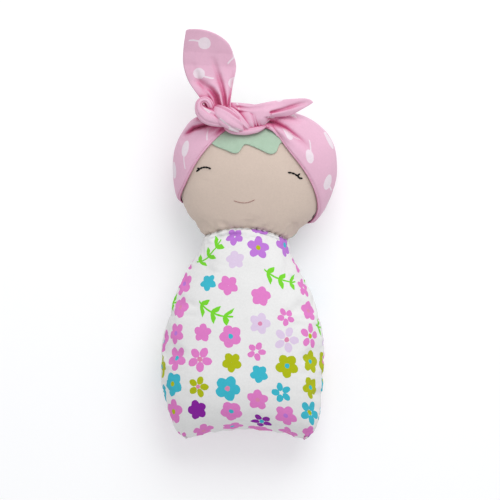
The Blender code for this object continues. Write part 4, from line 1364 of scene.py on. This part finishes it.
bm = bmesh.new()
outline = evenly(FRINGE + FRINGE[:1], FRINGE_POINTS)[:-1]
bm.faces.new([bm.verts.new((x * MM, y * MM, 0)) for x, y in outline])
for axis, (low, high) in enumerate(FRINGE_SPAN):
    for line in np.arange(low * MM, high * MM, FELT_NET):
        along = Vector((axis == 0, axis == 1, 0))
        everything = bm.verts[:] + bm.edges[:] + bm.faces[:]
        bmesh.ops.bisect_plane(bm, geom=everything, plane_co=along * line, plane_no=along)
bmesh.ops.remove_doubles(bm, verts=bm.verts, dist=MERGE_WITHIN)
uv = bm.loops.layers.uv.new("flat")
for v in bm.verts:
    for loop in v.link_loops:
        loop[uv].uv = v.co.xy
    uneven = FELT_UNEVENNESS[0] * noise.noise(v.co / FELT_UNEVENNESS[1])
    v.co = on_face(v.co.x / MM, v.co.y / MM, FELT_LIFT + uneven)
bmesh.ops.recalc_face_normals(bm, faces=bm.faces)
if sum(face.normal.z for face in bm.faces) < 0:
    bmesh.ops.reverse_faces(bm, faces=bm.faces)
fringe = thickened(add_mesh("fringe_felt", bm, mint_felt), FELT_THICKNESS)
hang(fringe, "head", "hair_fringe", "mint_felt")
print("fringe", [round(side / MM, 1) for side in fringe.dimensions])

# %% Eyes and mouth
THREAD_POINTS = 60
STITCH_LENGTH = 2.1 * MM
STITCH_OVERLAP = 1.22
STITCH_FLATNESS = 0.8
STITCH_LIFT = 0.15
STITCHES = {  # node, thread, its radius in mm, and the lines of the plan that it follows
    "left_eye_stitches": ("left_eye", black_thread, 0.6, (
        ((-34.2, 110.7), (-32.9, 112), (-31.2, 112.8), (-29.4, 113.1), (-27.5, 112.8), (-26.2, 112.2)),
        ((-33.6, 111.3), (-35, 110.1)), ((-33, 111.9), (-34.6, 112.1)), ((-34.2, 110.4), (-33.4, 111.6)))),
    "right_eye_stitches": ("right_eye", black_thread, 0.6, (
        ((21.9, 112.4), (24.4, 112.3), (26.3, 111.7), (27.8, 110.6), (29.5, 109)),
        ((27.7, 110.6), (29.3, 112)), ((29.2, 109.3), (31, 109.2)), ((28.2, 110.2), (29.6, 108.9)))),
    "mouth_stitches": ("mouth", rose_thread, 0.2, (
        ((-10.8, 93.1), (-8.9, 92.5), (-7, 92.2), (-4.4, 91.9), (-1.3, 92.6), (0.4, 93.3), (1.9, 94.3)),)),
}


def bead(bm, a, b, place, size, segments):
    """Adds one stitch, a long bead at a place that points from a to b."""
    turn = (b - a).to_track_quat("X", "Z").to_matrix().to_4x4()
    matrix = Matrix.Translation(place) @ turn @ Matrix.Diagonal((*size, 1))
    bmesh.ops.create_uvsphere(bm, u_segments=segments[0], v_segments=segments[1], radius=1, matrix=matrix)


def stitched(name, finish, radius, lines):
    """Thread lying in short stitches along lines of the face, as one object of closed beads."""
    bm = bmesh.new()
    bm.loops.layers.uv.new("flat")
    for line in lines:
        points = [on_face(*point, STITCH_LIFT) for point in evenly(line, THREAD_POINTS)]
        length = sum((b - a).length for a, b in zip(points, points[1:]))
        count = max(1, round(length / STITCH_LENGTH))
        ends = [points[round((THREAD_POINTS - 1) * stitch / count)] for stitch in range(count + 1)]
        for a, b in zip(ends, ends[1:]):
            size = (b - a).length / 2 * STITCH_OVERLAP, radius * MM, radius * STITCH_FLATNESS * MM
            bead(bm, a, b, (a + b) / 2, size, (14, 10))
    return add_mesh(name, bm, finish)


for name, (node, finish, radius, lines) in STITCHES.items():
    made = stitched(name, finish, radius, lines)
    hang(made, "head", node, "rose_thread" if node == "mouth" else "black_thread")
print("face stitched")

# %% [markdown]
# ## The neck seam's thread
#
# White thread shows as a row of small stitches sunk in the seam that joins the head to the body.

# %% Neck stitches
NECK_STITCHES = 46
NECK_STITCH_SPAN = (0.14, 0.86)  # where a stitch starts and ends, in its share of the way round
NECK_THREAD_RADIUS = 0.28 * MM
NECK_STITCH_SUNK = 0.9 * MM

bm = bmesh.new()
bm.loops.layers.uv.new("flat")
for stitch in range(NECK_STITCHES):
    a, b = (on_form((stitch + share) / NECK_STITCHES, NECK_Y) for share in NECK_STITCH_SPAN)
    middle = (a + b) / 2
    inward = (Vector((lean(NECK_Y), middle.y, SEAM_Z)) - middle).normalized()
    size = (b - a).length / 2, NECK_THREAD_RADIUS, NECK_THREAD_RADIUS
    bead(bm, a, b, middle + inward * NECK_STITCH_SUNK, size, (12, 8))
neck_stitches = add_mesh("neck_stitches", bm, white_thread)
hang(neck_stitches, "neck", "neck_seam_thread", "white_thread")
print(NECK_STITCHES, "stitches round the neck")

# %% [markdown]
# ## The cloth as it was cut
#
# The scarf was cut as one long strip of cotton with a lining of the same size. Its flat length is
# the strip's length round the head, and its ends run on through the knot into the ear and the tail,
# which are listed by themselves, with the area that they were cut to.

# %% Sheets
def one_side(made):
    """Area of one face of a thickened sheet, in square metres."""
    return sum(face.area for face in made.data.polygons) / 2


hang(scarf_band, "head", "scarf_band", "scarf_cotton")
hang(scarf_inside, "head", "scarf_lining", "scarf_lining")
SCARF_FLAT, EAR_FLAT, TAIL_FLAT, FRINGE_FLAT = (0.064, 0.2), (0.036, 0.056), (0.014, 0.05), (0.052, 0.026)
SHAPED_CUT = 0.75
knot_loop = knot_pieces[0]
CUTS = (  # piece, flat width and length, share of that rectangle, how it is held, what is under it
    (scarf_band, SCARF_FLAT, 1, "stretched", scarf_inside),
    (scarf_inside, SCARF_FLAT, 1, "stretched", back_head_cover),
    (ear_front, EAR_FLAT, SHAPED_CUT, "gathered", ear_back),
    (ear_back, EAR_FLAT, SHAPED_CUT, "gathered", knot_loop),
    (tail_front, TAIL_FLAT, SHAPED_CUT, "gathered", tail_back),
    (tail_back, TAIL_FLAT, SHAPED_CUT, "gathered", knot_loop),
    (fringe, FRINGE_FLAT, SHAPED_CUT, "laid", face_cover))
for made, (width, length), share, held, under in CUTS:
    share * width * length
    real, flat = one_side(made) * 1e4, share * width * length * 1e4
    print(made.name, "area", round(real, 1), "of", round(flat, 1), "cm2")
